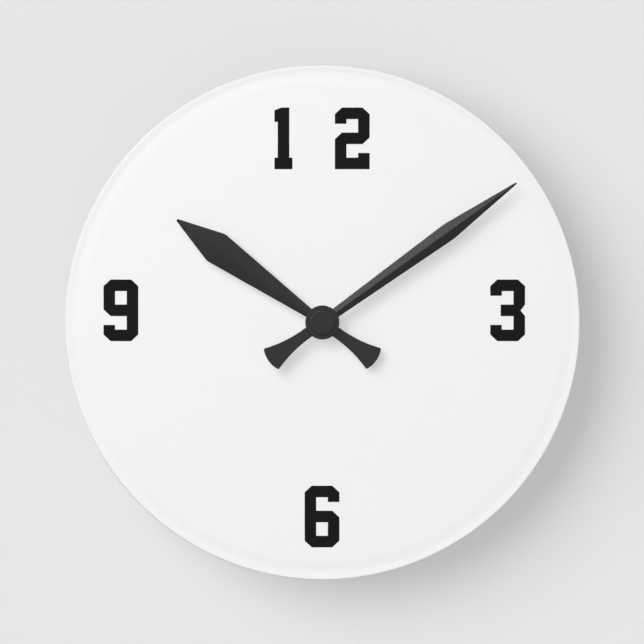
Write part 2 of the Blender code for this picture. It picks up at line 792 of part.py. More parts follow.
def make_cover():
    cover = part(
        "rear_cover",
        block(CASE_SIDE, CASE_SIDE, 0.0, SEAM_LOW, corner=CASE_CORNER),
        CASE_PLASTIC,
    )
    cut(cover, block(INNER_SIDE, INNER_SIDE, CASE_WALL, SEAM_LOW + MM, corner=CASE_CORNER))
    bay_bottom = -INNER_SIDE / 2 + 0.2 * MM
    bay_middle = (BAY_TOP + bay_bottom) / 2
    bay_height = BAY_TOP - bay_bottom
    cut(
        cover,
        block(2 * BAY_HALF_WIDTH, bay_height, -MM, CASE_WALL + MM, xy=(0.0, bay_middle)),
        disc(FINGER_NOTCH_RADIUS, -MM, CASE_WALL - 0.2 * MM, (FINGER_NOTCH_X, BAY_TOP + MM), 24),
    )
    root = CASE_WALL - JOIN_OVERLAP
    bay_rib = block(51.4 * MM, RIB, root, 9.0 * MM, xy=(0.0, BAY_TOP + 0.6 * MM))
    well = disc(WELL_RADIUS + WELL_WALL, JOIN_OVERLAP, WELL_FLOOR[1], KNOB_XY, 32)
    join(cover, bay_rib, well)
    cut(
        cover,
        disc(WELL_RADIUS, -MM, WELL_FLOOR[0], KNOB_XY, 32),
        disc(2.0 * MM, 0.0, WELL_FLOOR[1] + MM, KNOB_XY, 12),
        block(
            2 * HANGER_NECK + 0.8 * MM,
            3 * MM,
            HANGER_LAYER[0] - 0.3 * MM,
            HANGER_LAYER[1] + 0.3 * MM,
            xy=(0.0, CASE_SIDE / 2 - 0.6 * MM),
        ),
    )
    tongue_low = 5.0 * MM
    for side in (-1, 1):
        for y in LATCH_ROWS:
            x = side * (CASE_SIDE / 2 - TONGUE_THICKNESS / 2 + JOIN_OVERLAP)
            tongue = block(TONGUE_THICKNESS, TONGUE_WIDTH, tongue_low, TONGUE_HIGH, xy=(x, y))
            join(cover, tongue)
    for xy in BRIDGE_POSTS:
        join(cover, disc(POST_RADIUS, root, BRIDGE_LAYER[0] - FLAT_GAP, xy, 10))


def make_hanger():
    """A plate with a nail loop; its wide foot is held inside the rear cover."""
    foot_low = 23.6 * MM
    foot_high = 26.5 * MM
    shoulder = CASE_SIDE / 2 + 1.5 * MM
    right = [
        (HANGER_NECK + 2.4 * MM, foot_low),
        (HANGER_NECK + 2.4 * MM, foot_high),
        (HANGER_NECK, foot_high),
        (HANGER_NECK, shoulder),
        (HANGER_HALF_WIDTH, shoulder + 1.5 * MM),
    ]
    arc_middle = HANGER_TOP - HANGER_HALF_WIDTH
    for i in range(9):
        a = math.radians(90.0 * i / 8)
        right.append(
            (HANGER_HALF_WIDTH * math.cos(a), arc_middle + HANGER_HALF_WIDTH * math.sin(a))
        )
    left = [(-x, y) for x, y in right[-2::-1]]
    loop = []
    for i in range(13):
        a = math.radians(-200.0 + 220.0 * i / 12)
        rise = LOOP_FLATTENING * LOOP_RADIUS * math.sin(a)
        loop.append((LOOP_RADIUS * math.cos(a), LOOP_Y + rise))
    for i in range(7):
        a = math.radians(180.0 * i / 6)
        loop.append((NOTCH_RADIUS * math.cos(a), NOTCH_Y + NOTCH_RADIUS * math.sin(a)))
    hanger = outline_curve("hanger", [right + left, loop], *HANGER_LAYER)
    hanger.data.materials.append(CASE_PLASTIC)
    hanger.parent = UPRIGHT


# --- power and circuit --------------------------------------------------------------------
def make_battery(axis):
    """A cell whose axis lies along x; heights in the profiles run from the negative end."""
    rim = 0.4 * MM
    shoulder = CELL_LENGTH - CELL_NUB_LENGTH - FLAT_GAP
    can_radius = CELL_RADIUS - 0.45 * MM
    can = [
        (0.0, shoulder),
        (can_radius - rim, shoulder),
        (can_radius, shoulder - rim),
        (can_radius, rim),
        (can_radius - rim, 0.0),
        (0.0, 0.0),
    ]
    turned("battery_can", can, STEEL, axis, steps=32)
    nub = [
        (0.0, CELL_LENGTH),
        (CELL_NUB_RADIUS - 0.25 * MM, CELL_LENGTH),
        (CELL_NUB_RADIUS, CELL_LENGTH - 0.25 * MM),
        (CELL_NUB_RADIUS, shoulder + FLAT_GAP),
        (0.0, shoulder + FLAT_GAP),
    ]
    turned("battery_positive_cap", nub, STEEL, axis, steps=24)
    sleeve_bore = can_radius + 0.1 * MM
    sleeve_end = 0.6 * MM
    taper = 0.3 * MM
    sleeve = [
        (sleeve_bore, shoulder - sleeve_end),
        (CELL_RADIUS - 0.15 * MM, shoulder - sleeve_end),
        (CELL_RADIUS, shoulder - sleeve_end - taper),
        (CELL_RADIUS, sleeve_end + taper),
        (CELL_RADIUS - 0.15 * MM, sleeve_end),
        (sleeve_bore, sleeve_end),
    ]
    turned("battery_sleeve", sleeve, SLEEVE_GREEN, axis, steps=32)


def make_contacts():
    left = -26.5 * MM
    right = 26.45 * MM
    rail = -10.8 * MM
    post = 22.6 * MM
    negative = [(left, -24.0 * MM), (left, rail), (post, rail), (post, 18.6 * MM)]
    positive = [(right, -24.0 * MM), (right, 16.0 * MM), (24.4 * MM, 18.8 * MM)]
    strip("negative_contact", negative, STRIP_LAYER, SPRING_STEEL)
    strip("positive_contact", positive, STRIP_LAYER, SPRING_STEEL)

    turns = 2.5
    points_per_turn = 10
    count = int(turns * points_per_turn)
    wire = 0.25 * MM
    base_x = left + STRIP / 2 + wire + 0.125 * MM
    tip_x = CELL_LEFT - wire - 0.1 * MM
    base_radius = 4.4 * MM
    tip_radius = 1.8 * MM
    points = []
    for i in range(count + 1):
        t = i / count
        radius = base_radius + (tip_radius - base_radius) * t
        a = 2 * math.pi * turns * t
        points.append(
            (
                base_x + (tip_x - base_x) * t,
                CELL_Y + radius * math.cos(a),
                CELL_HEIGHT + radius * math.sin(a),
            )
        )
    tube_wire("negative_spring", points, wire, SPRING_STEEL)


def make_circuit():
    board = part(
        "circuit_board",
        block(17.0 * MM, 10.0 * MM, *BOARD_LAYER, xy=(17.0 * MM, 21.2 * MM), corner=0.8 * MM),
        BOARD_GREEN,
        smooth=False,
    )
    cut(board, disc(0.5 * MM, BOARD_LAYER[0] - MM, BOARD_LAYER[1] + MM, BOARD_POSTS[0], 12))
    board_face = BOARD_LAYER[0] - FLAT_GAP
    chip_axis = new_empty("chip_axis", UPRIGHT, 16.0 * MM, 19.4 * MM)
    dome_height = 1.1 * MM
    dome_radius = 2.6 * MM
    dome = [(0.0, board_face)]
    for i in range(5):
        a = math.radians(90.0 * i / 5)
        dome.append((dome_radius * math.cos(a), board_face - dome_height * math.sin(a)))
    dome.append((0.0, board_face - dome_height))
    turned("clock_chip", dome, CHIP_RESIN, chip_axis, steps=20)

    crystal_axis = new_empty("crystal_axis", UPRIGHT, 14.5 * MM, 24.0 * MM)
    crystal_axis.location.z = board_face - 1.02 * MM
    crystal_axis.rotation_euler = (0.0, math.radians(90.0), 0.0)
    part("quartz_crystal", disc(1.0 * MM, -3.0 * MM, 3.0 * MM, sides=12), STEEL, crystal_axis)


# --- stepping motor -----------------------------------------------------------------------
def make_motor(rotor_axis):
    ring_radius = 6.0 * MM
    limb_y = 16.5 * MM
    stator = part("stator", disc(ring_radius, *STATOR_LAYER, ROTOR_XY, 32), STEEL)
    limb_width = 2.6 * MM
    limb_left = LUG_LEFT_X - limb_width / 2
    limb_right = ROTOR_XY[0] - 4.0 * MM
    join(
        stator,
        disc(2.4 * MM, *STATOR_LAYER, LUGS[0], 20),
        disc(2.4 * MM, *STATOR_LAYER, LUGS[1], 20),
        block(
            limb_right - limb_left,
            limb_width,
            *STATOR_LAYER,
            xy=((limb_left + limb_right) / 2, limb_y),
        ),
        block(
            limb_width,
            COIL_Y - limb_y,
            *STATOR_LAYER,
            xy=(LUG_LEFT_X, (COIL_Y + limb_y) / 2),
        ),
    )
    cut(stator, disc(ROTOR_HOLE, STATOR_LAYER[0] - MM, STATOR_LAYER[1] + MM, ROTOR_XY, 32))
    for notch_angle in (75.0, 255.0):
        notch_xy = ROTOR_XY + polar(ring_radius + 0.6 * MM, notch_angle)
        cut(stator, disc(1.9 * MM, STATOR_LAYER[0] - MM, STATOR_LAYER[1] + MM, notch_xy, 16))

    core_middle = (LUG_LEFT_X + LUG_RIGHT_X) / 2
    core_length = LUG_RIGHT_X - LUG_LEFT_X
    core_bar = block(core_length, 2.0 * MM, *CORE_LAYER, xy=(core_middle, COIL_Y))
    core = part("coil_core", core_bar, STEEL, smooth=False)
    join(core, *[disc(2.2 * MM, *CORE_LAYER, xy, 20) for xy in LUGS])
    for target in (stator, core):
        low = CORE_LAYER[0] - MM
        high = STATOR_LAYER[1] + MM
        cut(target, *[disc(SCREW_HOLE, low, high, xy, 16) for xy in LUGS])

    head = (CORE_LAYER[0] - 0.8 * MM, CORE_LAYER[0] - FLAT_GAP)
    shank = (head[1] - JOIN_OVERLAP, STATOR_LAYER[1] + 2 * MM)
    for side, xy in zip(("left", "right"), LUGS):
        screw = part(f"stator_screw_{side}", disc(SCREW_HEAD_RADIUS, *head, xy, 20), STEEL)
        join(screw, disc(SCREW_SHANK_RADIUS, *shank, xy, 16))
        cut(screw, block(3.6 * MM, 0.4 * MM, head[0] - MM, head[0] + 0.35 * MM, xy=xy))

    coil_axis = new_empty("coil_axis", UPRIGHT, core_middle, COIL_Y)
    coil_axis.location.z = (CORE_LAYER[0] + CORE_LAYER[1]) / 2
    coil_axis.rotation_euler = (0.0, math.radians(90.0), 0.0)
    half_length = 6.2 * MM
    flange = 0.8 * MM
    spool = [
        (3.8 * MM, half_length),
        (3.8 * MM, half_length - flange),
        (1.7 * MM, half_length - flange),
        (1.7 * MM, flange - half_length),
        (3.8 * MM, flange - half_length),
        (3.8 * MM, -half_length),
    ]
    spool = [(0.0, half_length), *spool, (0.0, -half_length)]
    bobbin = turned("coil_bobbin", spool, GEAR_PLASTIC, coil_axis, steps=24)
    cut(bobbin, block(1.3 * MM, 2.3 * MM, -half_length - MM, half_length + MM))
    winding = half_length - flange - 0.1 * MM
    tube = [(1.8 * MM, winding), (3.3 * MM, winding), (3.3 * MM, -winding), (1.8 * MM, -winding)]
    turned("coil_winding", tube, COPPER, coil_axis, steps=24)

    lead_height = 5.6 * MM
    for name, start_y, end_y in (
        ("coil_lead_start", 23.2 * MM, 25.2 * MM),
        ("coil_lead_finish", 21.6 * MM, 23.0 * MM),
    ):
        points = [
            (core_middle + half_length + 0.35 * MM, start_y, lead_height),
            (LUG_RIGHT_X, end_y + 0.2 * MM, lead_height - 0.3 * MM),
            (2.0 * MM, end_y, lead_height - 0.2 * MM),
            (7.5 * MM, end_y, lead_height + 0.3 * MM),
            (9.4 * MM, end_y, BOARD_LAYER[0] - 0.2 * MM),
        ]
        tube_wire(name, points, 0.12 * MM, COPPER)

    direction = direction_between(FIFTH_XY, ROTOR_XY)
    phase = meshed_phase(FIFTH_TEETH, 0.0, PINION_TEETH, direction)
    teeth = gear(PINION_TEETH, FIFTH_MODULE, ROTOR_LAYER, phase)
    pinion = part("rotor_pinion", teeth, GEAR_PLASTIC, rotor_axis)
    magnet_layer = (7.2 * MM, 8.95 * MM)
    join(
        pinion,
        disc(PIVOT_RADIUS, REAR_PIVOT_LOW, PLATE_LAYER[1] - 0.2 * MM, sides=12),
        disc(TRAIN_ARBOR, ROTOR_LAYER[1] - JOIN_OVERLAP, magnet_layer[1], sides=12),
    )
    magnet = part("rotor_magnet", disc(MAGNET_RADIUS, *magnet_layer), MAGNET_GREY, rotor_axis)
    cut(magnet, disc(TRAIN_ARBOR + SEAT_GAP, magnet_layer[0] - MM, magnet_layer[1] + MM, sides=12))


# --- plates and gears ------------------------------------------------------------------------
def make_plates():
    plate = part(
        "middle_plate",
        block(47.3 * MM, 24.5 * MM, *PLATE_LAYER, xy=(-2.15 * MM, 2.25 * MM), corner=2 * MM),
        GEAR_PLASTIC,
        smooth=False,
    )
    join(plate, disc(5.0 * MM, *PLATE_LAYER, ROTOR_XY, 24))
    pillar = (BRIDGE_LAYER[1] + FLAT_GAP, PLATE_LAYER[0] + JOIN_OVERLAP)
    for xy in SHARED_POSTS:
        join(plate, disc(PILLAR_RADIUS, *pillar, xy, 10))
    low = PLATE_LAYER[0] - MM
    high = PLATE_LAYER[1] + MM
    cut(
        plate,
        disc(ARBOR_HOLE, low, high, CENTRE_XY, 12),
        disc(ARBOR_HOLE, low, high, THIRD_XY, 12),
        disc(PIVOT_HOLE, low, high, FIFTH_XY, 12),
        disc(PIVOT_HOLE, low, high, ROTOR_XY, 12),
        disc(KNOB_ARBOR + 0.4 * MM, low, high, KNOB_XY, 12),
    )

    bridge = part(
        "train_bridge",
        block(28.4 * MM, 23.5 * MM, *BRIDGE_LAYER, xy=(-11.3 * MM, 3.15 * MM), corner=1.5 * MM),
        GEAR_PLASTIC,
        smooth=False,
    )
    join(
        bridge,
        disc(2.2 * MM, *BRIDGE_LAYER, ROTOR_XY, 24),
        block(3.6 * MM, 4.0 * MM, *BRIDGE_LAYER, xy=(ROTOR_XY[0], 16.0 * MM)),
    )
    for xy in (CENTRE_XY, THIRD_XY, FIFTH_XY, ROTOR_XY):
        cut(bridge, disc(PIVOT_HOLE, BRIDGE_LAYER[0] - MM, BRIDGE_LAYER[1] + MM, xy, 12))


def make_motion_work(hour_axis, minute_axis, knob_axis):
    """Cannon pinion, minute wheel and hour wheel: one turn in twelve.

    The hands' empties stand at the shown time, so the gears on them undo that turn.
    """
    minute_turn = math.radians(MINUTE_ANGLE)
    hour_turn = math.radians(HOUR_ANGLE)
    arbor_low = PLATE_LAYER[1] + 0.2 * MM
    cannon = gear(CANNON_TEETH, MOTION_MODULE, CANNON_LAYER, minute_turn)
    arbor = part("minute_arbor", cannon, BRASS, minute_axis)
    join(arbor, disc(ARBOR_RADIUS, arbor_low, MINUTE_HUB_HIGH - 0.1 * MM, sides=24))
    cut(arbor, disc(0.9 * MM, arbor_low - MM, 12.6 * MM, sides=12))

    phase = meshed_phase(PINION_TEETH, 0.0, CENTRE_TEETH, direction_between(THIRD_XY, CENTRE_XY))
    teeth = gear(CENTRE_TEETH, CENTRE_MODULE, CENTRE_LAYER, phase + minute_turn)
    wheel = part("centre_wheel", teeth, GEAR_PLASTIC, minute_axis)
    cut(wheel, disc(ARBOR_RADIUS + SEAT_GAP, CENTRE_LAYER[0] - MM, CENTRE_LAYER[1] + MM, sides=24))

    direction = direction_between(CENTRE_XY, KNOB_XY)
    phase = meshed_phase(CANNON_TEETH, 0.0, MINUTE_WHEEL_TEETH, direction)
    teeth = gear(MINUTE_WHEEL_TEETH, MOTION_MODULE, CANNON_LAYER, phase)
    minute_wheel = part("minute_wheel", teeth, GEAR_PLASTIC, knob_axis)
    pinion_layer = (CANNON_LAYER[1] - JOIN_OVERLAP, HOUR_LAYER[1])
    join(
        minute_wheel,
        gear(MINUTE_PINION_TEETH, MOTION_MODULE, pinion_layer),
        disc(KNOB_ARBOR, KNOB_SOCKET_LOW + SEAT_GAP, FRONT_PIVOT_HIGH, sides=20),
    )

    phase = meshed_phase(MINUTE_PINION_TEETH, 0.0, HOUR_WHEEL_TEETH, direction + math.pi)
    teeth = gear(HOUR_WHEEL_TEETH, MOTION_MODULE, HOUR_LAYER, phase + hour_turn)
    hour_wheel = part("hour_wheel", teeth, GEAR_PLASTIC, hour_axis)
    pipe_low = HOUR_LAYER[0] + JOIN_OVERLAP
    pipe_high = HOUR_HUB_HIGH + 0.3 * MM
    join(hour_wheel, disc(PIPE_RADIUS, pipe_low, pipe_high, sides=24))
    cut(hour_wheel, disc(PIPE_BORE, HOUR_LAYER[0] - MM, HOUR_HUB_HIGH + MM, sides=24))


def arbor_between(rear_layer, front_layer):
    """The thick part of an arbor, from a wheel to its pinion."""
    low = rear_layer[1] - JOIN_OVERLAP
    return disc(TRAIN_ARBOR, low, front_layer[0] + JOIN_OVERLAP, sides=12)


def make_going_train(third_axis, fourth_axis, fifth_axis):
    teeth = gear(PINION_TEETH, CENTRE_MODULE, CENTRE_LAYER)
    third = part("third_wheel", teeth, GEAR_PLASTIC, third_axis)
    join(
        third,
        gear(THIRD_TEETH, THIRD_MODULE, THIRD_LAYER),
        arbor_between(THIRD_LAYER, CENTRE_LAYER),
        disc(PIVOT_RADIUS, REAR_PIVOT_LOW, FRONT_PIVOT_HIGH, sides=12),
    )

    direction = direction_between(THIRD_XY, CENTRE_XY)
    phase = meshed_phase(THIRD_TEETH, 0.0, PINION_TEETH, direction)
    teeth = gear(PINION_TEETH, THIRD_MODULE, THIRD_LAYER, phase)
    fourth = part("fourth_wheel", teeth, GEAR_PLASTIC, fourth_axis)
    join(
        fourth,
        gear(FOURTH_TEETH, FOURTH_MODULE, FOURTH_LAYER),
        arbor_between(FOURTH_LAYER, THIRD_LAYER),
        disc(PIVOT_RADIUS, REAR_PIVOT_LOW, 12.3 * MM, sides=12),
    )

    direction = direction_between(CENTRE_XY, FIFTH_XY)
    phase = meshed_phase(FOURTH_TEETH, 0.0, PINION_TEETH, direction)
    teeth = gear(PINION_TEETH, FOURTH_MODULE, FOURTH_LAYER, phase)
    fifth = part("fifth_wheel", teeth, GEAR_PLASTIC, fifth_axis)
    join(
        fifth,
        gear(FIFTH_TEETH, FIFTH_MODULE, ROTOR_LAYER),
        arbor_between(ROTOR_LAYER, FOURTH_LAYER),
        disc(PIVOT_RADIUS, REAR_PIVOT_LOW, PLATE_LAYER[1] - 0.2 * MM, sides=12),
    )


def make_knob(knob_axis):
    """A ribbed knob with a finger bar, pressed on the minute wheel's arbor."""
    rib_flank = ((-0.55, 0.75), (0.0, 0.4))
    module = KNOB_RADIUS * 2 / KNOB_RIBS
    ribbed = outline_solid([gear_outline(KNOB_RIBS, module, rib_flank)], KNOB_LOW, KNOB_HIGH)
    knob = part("setting_knob", ribbed, KNOB_PLASTIC, knob_axis)
    groove_width = 2.2 * MM
    groove_x = groove_width / 2 + 0.6 * MM
    groove_top = KNOB_LOW + KNOB_GROOVE_DEPTH
    for side in (-1, 1):
        cut(knob, block(groove_width, 7.0 * MM, -MM, groove_top, xy=(side * groove_x, 0.0)))
    cut(knob, disc(KNOB_ARBOR + SEAT_GAP, KNOB_SOCKET_LOW, KNOB_HIGH + MM, sides=20))


def main():
    minute_axis = new_empty("minute_axis", UPRIGHT, turn=MINUTE_ANGLE)
    hour_axis = new_empty("hour_axis", UPRIGHT, turn=HOUR_ANGLE)
    knob_axis = new_empty("knob_axis", UPRIGHT, *KNOB_XY)
    third_axis = new_empty("third_axis", UPRIGHT, *THIRD_XY)
    fourth_axis = new_empty("fourth_axis", UPRIGHT)
    fifth_axis = new_empty("fifth_axis", UPRIGHT, *FIFTH_XY)
    rotor_axis = new_empty("rotor_axis", UPRIGHT, *ROTOR_XY)
    cell_axis = new_empty("cell_axis", UPRIGHT, CELL_LEFT, CELL_Y)
    cell_axis.location.z = CELL_HEIGHT
    cell_axis.rotation_euler = (0.0, math.radians(90.0), 0.0)

    make_dial()
    make_numerals()
    make_hands(hour_axis, minute_axis)
    make_fixings()
    make_case()
    make_cover()
    make_hanger()
    make_battery(cell_axis)
    make_contacts()
    make_circuit()
    make_motor(rotor_axis)
    make_plates()
    make_motion_work(hour_axis, minute_axis, knob_axis)
    make_going_train(third_axis, fourth_axis, fifth_axis)
    make_knob(knob_axis)


main()
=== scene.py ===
"""Looks of the round wall clock: fine surfaces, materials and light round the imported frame.

Shapes are laid out face up, as (x, y, h): x to the right, y towards twelve o'clock and h
out from the wall. UPRIGHT stands them up, so that the dial faces -Y in the row frame.
"""
import json
import math

import bmesh
import bpy
from mathutils import Matrix, Vector

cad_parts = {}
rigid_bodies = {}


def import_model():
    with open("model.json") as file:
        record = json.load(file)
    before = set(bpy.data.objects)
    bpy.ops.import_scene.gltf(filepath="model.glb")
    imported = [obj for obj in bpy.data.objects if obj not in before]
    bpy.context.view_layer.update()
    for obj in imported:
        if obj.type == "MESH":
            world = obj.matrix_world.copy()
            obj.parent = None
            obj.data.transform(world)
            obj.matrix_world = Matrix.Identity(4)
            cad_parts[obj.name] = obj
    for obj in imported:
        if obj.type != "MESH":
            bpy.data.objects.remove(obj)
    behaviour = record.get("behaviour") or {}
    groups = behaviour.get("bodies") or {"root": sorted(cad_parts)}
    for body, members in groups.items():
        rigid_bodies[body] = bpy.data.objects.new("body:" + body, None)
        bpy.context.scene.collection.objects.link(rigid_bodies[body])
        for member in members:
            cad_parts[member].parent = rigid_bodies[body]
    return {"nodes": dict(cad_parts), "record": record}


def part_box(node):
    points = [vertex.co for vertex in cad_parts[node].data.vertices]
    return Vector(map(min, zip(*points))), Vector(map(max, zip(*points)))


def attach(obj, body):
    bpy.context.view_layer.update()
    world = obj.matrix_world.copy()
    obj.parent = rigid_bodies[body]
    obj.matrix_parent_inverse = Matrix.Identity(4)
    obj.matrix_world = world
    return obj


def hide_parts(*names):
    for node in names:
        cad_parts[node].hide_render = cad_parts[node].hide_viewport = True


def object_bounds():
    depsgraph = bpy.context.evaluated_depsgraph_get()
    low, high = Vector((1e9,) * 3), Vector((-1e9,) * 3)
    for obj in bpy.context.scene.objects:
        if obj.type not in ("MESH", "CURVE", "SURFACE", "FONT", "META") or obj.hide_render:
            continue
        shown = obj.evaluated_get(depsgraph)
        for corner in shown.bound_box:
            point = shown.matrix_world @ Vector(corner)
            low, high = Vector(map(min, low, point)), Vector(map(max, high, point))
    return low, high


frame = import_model()
CAD_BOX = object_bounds()

MM = 0.001
UPRIGHT = Matrix.Rotation(math.radians(90.0), 4, "X")

# --- camera: the square picture is this wide where it meets the dial's face -------------
PICTURE_WIDTH = 254.0 * MM
CAMERA_DISTANCE = 2.0
CAMERA_SIDEWAYS = -0.13 * MM
CAMERA_RISE = 0.17 * MM
SENSOR = 36.0

# --- light: degrees off the dial's axis, and round it anticlockwise from the right ------
WALL_KEY_OFF_AXIS = 46.5
WALL_KEY_AZIMUTH = 150.0
WALL_KEY_HALF_ANGLE = 27.2
WALL_KEY_STRENGTH = 1.80
WALL_FILL_STRENGTH = 1.83
KEY_OFF_AXIS = 34.0
KEY_AZIMUTH = 138.0
KEY_HALF_ANGLE = 20.0
KEY_STRENGTH = 1.05
FILL_STRENGTH = 2.09
OVERHEAD_STRENGTH = 2.3
FILL_ANGLE = 2.5
GLOW_OFF_AXIS = 46.0
GLOW_AZIMUTH = 135.0
GLOW_DISTANCE = 0.55
GLOW_SIZE = 0.45
GLOW_POWER = 0.46
SIDE_DIRECTION = (0.9, -0.1, 0.3)
SIDE_STRENGTH = 0.6
REAR_DIRECTION = (-0.6, 0.75, 0.6)
REAR_ANGLE = 40.0
REAR_STRENGTH = 2.3
REAR_FILL_DIRECTION = (0.2, 1.0, -0.15)
REAR_FILL_STRENGTH = 1.0
BACKGROUND = 0.62

# --- stage --------------------------------------------------------------------------------
WALL_COLOUR = (0.755, 0.755, 0.752)
FLOOR_COLOUR = (0.78, 0.78, 0.775)
FLOOR_HEIGHT = -0.75
FLOOR_REACH = 8.0
WALL_HALF_WIDTH = 3.0
WALL_TOP = 2.2
WALL_GAP = 0.2 * MM

# --- surfaces -----------------------------------------------------------------------------
WEAR_WIDTH = 0.25 * MM
WEAR_SAMPLES = 4
WEAR_AMOUNT = 0.8
SLEEVE_DEEP = (0.007, 0.066, 0.038)

# --- meshes: angles in degrees ------------------------------------------------------------
SHARP_ANGLE = 35.0
SOFTENED_ANGLE = 30.0
LEVEL_ANGLE = 1.0
MERGE_DISTANCE = 0.002 * MM
TURNED_STEPS = 96
BORE_STEPS = 64
ARC_STEPS = 18
CORNER_STEPS = 5
CUT_MARGIN = 1.0 * MM
SUPPORT_RING = 0.04 * MM
SHELL_SOFT = 0.22 * MM
HANGER_SOFT = 0.35 * MM
KNOB_SOFT = 0.16 * MM
CONTACT_SOFT = 0.06 * MM
WASHER_SOFT = 0.12 * MM
GASKET_SOFT = 0.25 * MM

# --- dial ---------------------------------------------------------------------------------
DIAL_STEPS = 360
DIAL_SHARP_ANGLE = 50.0
CENTRE_HOLE = 4.3 * MM
EDGE_ROUND = 0.65 * MM
BACK_ROUND = 0.4 * MM
RIM_WIDTH = 7.4 * MM
RIM_VALLEY = 3.2 * MM
RIM_CREST = 0.8 * EDGE_ROUND
RIM_DEPTH = 0.34 * MM
RIM_POINTS = 36

# --- hands --------------------------------------------------------------------------------
HUB_RADIUS = 6.7 * MM
HUB_ROUND = 0.3 * MM
HUB_CHAMFER = 0.15 * MM
HUB_OVERLAP = 0.9
HUB_STEPS = 128
CAP_INSET = 0.5 * MM
CAP_DROP = 0.3 * MM
CAP_CHAMFER = 0.1 * MM
TAIL_SECTIONS = 44
TAIL_END_GAP = 0.002 * MM
TAIL_REACH = 26.0 * MM
TAIL_CORNER = 24.9 * MM
TAIL_END_HALF_WIDTH = 5.1 * MM
TAIL_HUB_HALF_WIDTH = 2.1 * MM
TAIL_FLARE = 2.2
TAIL_END_BULGE = 1.25 * MM
TAIL_SOFTNESS = 0.28 * MM
TAIL_LEAST_HALF_WIDTH = 0.05 * MM
BLADE_SECTIONS = 72
BLADE_HUB_HALF_WIDTH = 1.95 * MM
BLADE_LIFT = 0.2 * MM
BLADE_EDGE = 0.5 * MM
BLADE_RISE = 0.57 * MM
EDGE_SOFT = 0.12 * MM
EDGE_SOFT_SHARE = 0.35
RIDGE_SHARE = 0.03
HAND_SHARP_ANGLE = 6.0
HOUR_SHAPE = {
    "shoulder": 51.2 * MM,
    "half_width": 6.40 * MM,
    "tip_half_width": 0.46 * MM,
    "softness": 0.08 * MM,
    "bore": 2.7 * MM,
}
MINUTE_SHAPE = {
    "shoulder": 61.4 * MM,
    "half_width": 3.48 * MM,
    "tip_half_width": 0.33 * MM,
    "softness": 0.10 * MM,
    "bore": 1.6 * MM,
}

# --- nut and thread -----------------------------------------------------------------------
NUT_CHAMFER = 0.35 * MM
NUT_FACE_SHARE = 0.93
THREAD_BORE = 3.0 * MM
THREAD_PITCH = 0.75 * MM
THREAD_DEPTH = 0.28 * MM
THREAD_END_CUT = 0.12 * MM
THREAD_STEPS = 60
THREAD_ROWS = 8

# --- marks pressed into the rear cover ----------------------------------------------------
MARK_DEPTH = 0.3 * MM
ARROW_RADIUS = 10.1 * MM
ARROW_WIDTH = 0.7 * MM
ARROW_HEAD = 9.0
ARROW_SPANS = ((35.0, 118.0), (215.0, 298.0))
SIGN_ARM = 1.7 * MM
SIGN_HALF = 0.42 * MM
SIGN_CORNER = 0.1 * MM
PLUS_PLACE = (22.8 * MM, -8.6 * MM)
MINUS_PLACE = (-22.8 * MM, -8.6 * MM)
PANEL_PLACE = (-13.5 * MM, 16.5 * MM)
PANEL_WIDTH = 20.0 * MM
PANEL_HEIGHT = 11.0 * MM
PANEL_CORNER = 1.2 * MM
PANEL_DEPTH = 0.18 * MM
PIN_PLACES = ((-22.5 * MM, 2.5 * MM), (22.8 * MM, 20.5 * MM), (2.0 * MM, -7.0 * MM))
PIN_RADIUS = 1.7 * MM
PIN_DEPTH = 0.14 * MM


def polar(radius, degrees):
    """The point at a radius and an angle from +x."""
    a = math.radians(degrees)
    return Vector((radius * math.cos(a), radius * math.sin(a)))


def laid_box(node):
    """A CAD node's lowest and highest corners as (x, y, h)."""
    low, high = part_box(node)
    return Vector((low.x, low.z, -high.y)), Vector((high.x, high.z, -low.y))


def laid_centre(node):
    low, high = laid_box(node)
    return (low + high) / 2


# --- pieces -------------------------------------------------------------------------------
def finish_piece(obj, material, body, replaced, sharp=SHARP_ANGLE):
    """Gives a piece its material and shading, puts it under its body, and hides the nodes it stands
    for.
    """
    obj.data.materials.clear()
    obj.data.materials.append(material)
    obj.data.shade_smooth()
    obj.data.set_sharp_from_angle(angle=math.radians(sharp))
    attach(obj, body)
    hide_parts(*replaced)
    return obj


def object_from(name, bm, laid=True):
    """An object from a bmesh, which is freed; laid shapes are stood up."""
    if laid:
        bm.transform(UPRIGHT)
    mesh = bpy.data.meshes.new(name)
    bm.to_mesh(mesh)
    bm.free()
    obj = bpy.data.objects.new(name, mesh)
    bpy.context.scene.collection.objects.link(obj)
    return obj


def even_normals(obj):
    """Large flat faces keep their own normals beside small rounded edges."""
    modifier = obj.modifiers.new("normals", "WEIGHTED_NORMAL")
    modifier.keep_sharp = True
    modifier.weight = 100


def apply_modifiers(obj):
    """Replaces the object's mesh with what its modifiers make of it."""
    depsgraph = bpy.context.evaluated_depsgraph_get()
    mesh = bpy.data.meshes.new_from_object(obj.evaluated_get(depsgraph))
    old = obj.data
    obj.modifiers.clear()
    obj.data = mesh
    bpy.data.meshes.remove(old)


def combine(obj, tools, operation):
    """Boolean of obj with each laid bmesh in tools, applied to its mesh."""
    for bm in tools:
        tool = object_from("tool", bm)
        modifier = obj.modifiers.new("combine", "BOOLEAN")
        modifier.operation = operation
        modifier.solver = "EXACT"
        modifier.object = tool
        apply_modifiers(obj)
        bpy.data.objects.remove(tool, do_unlink=True)


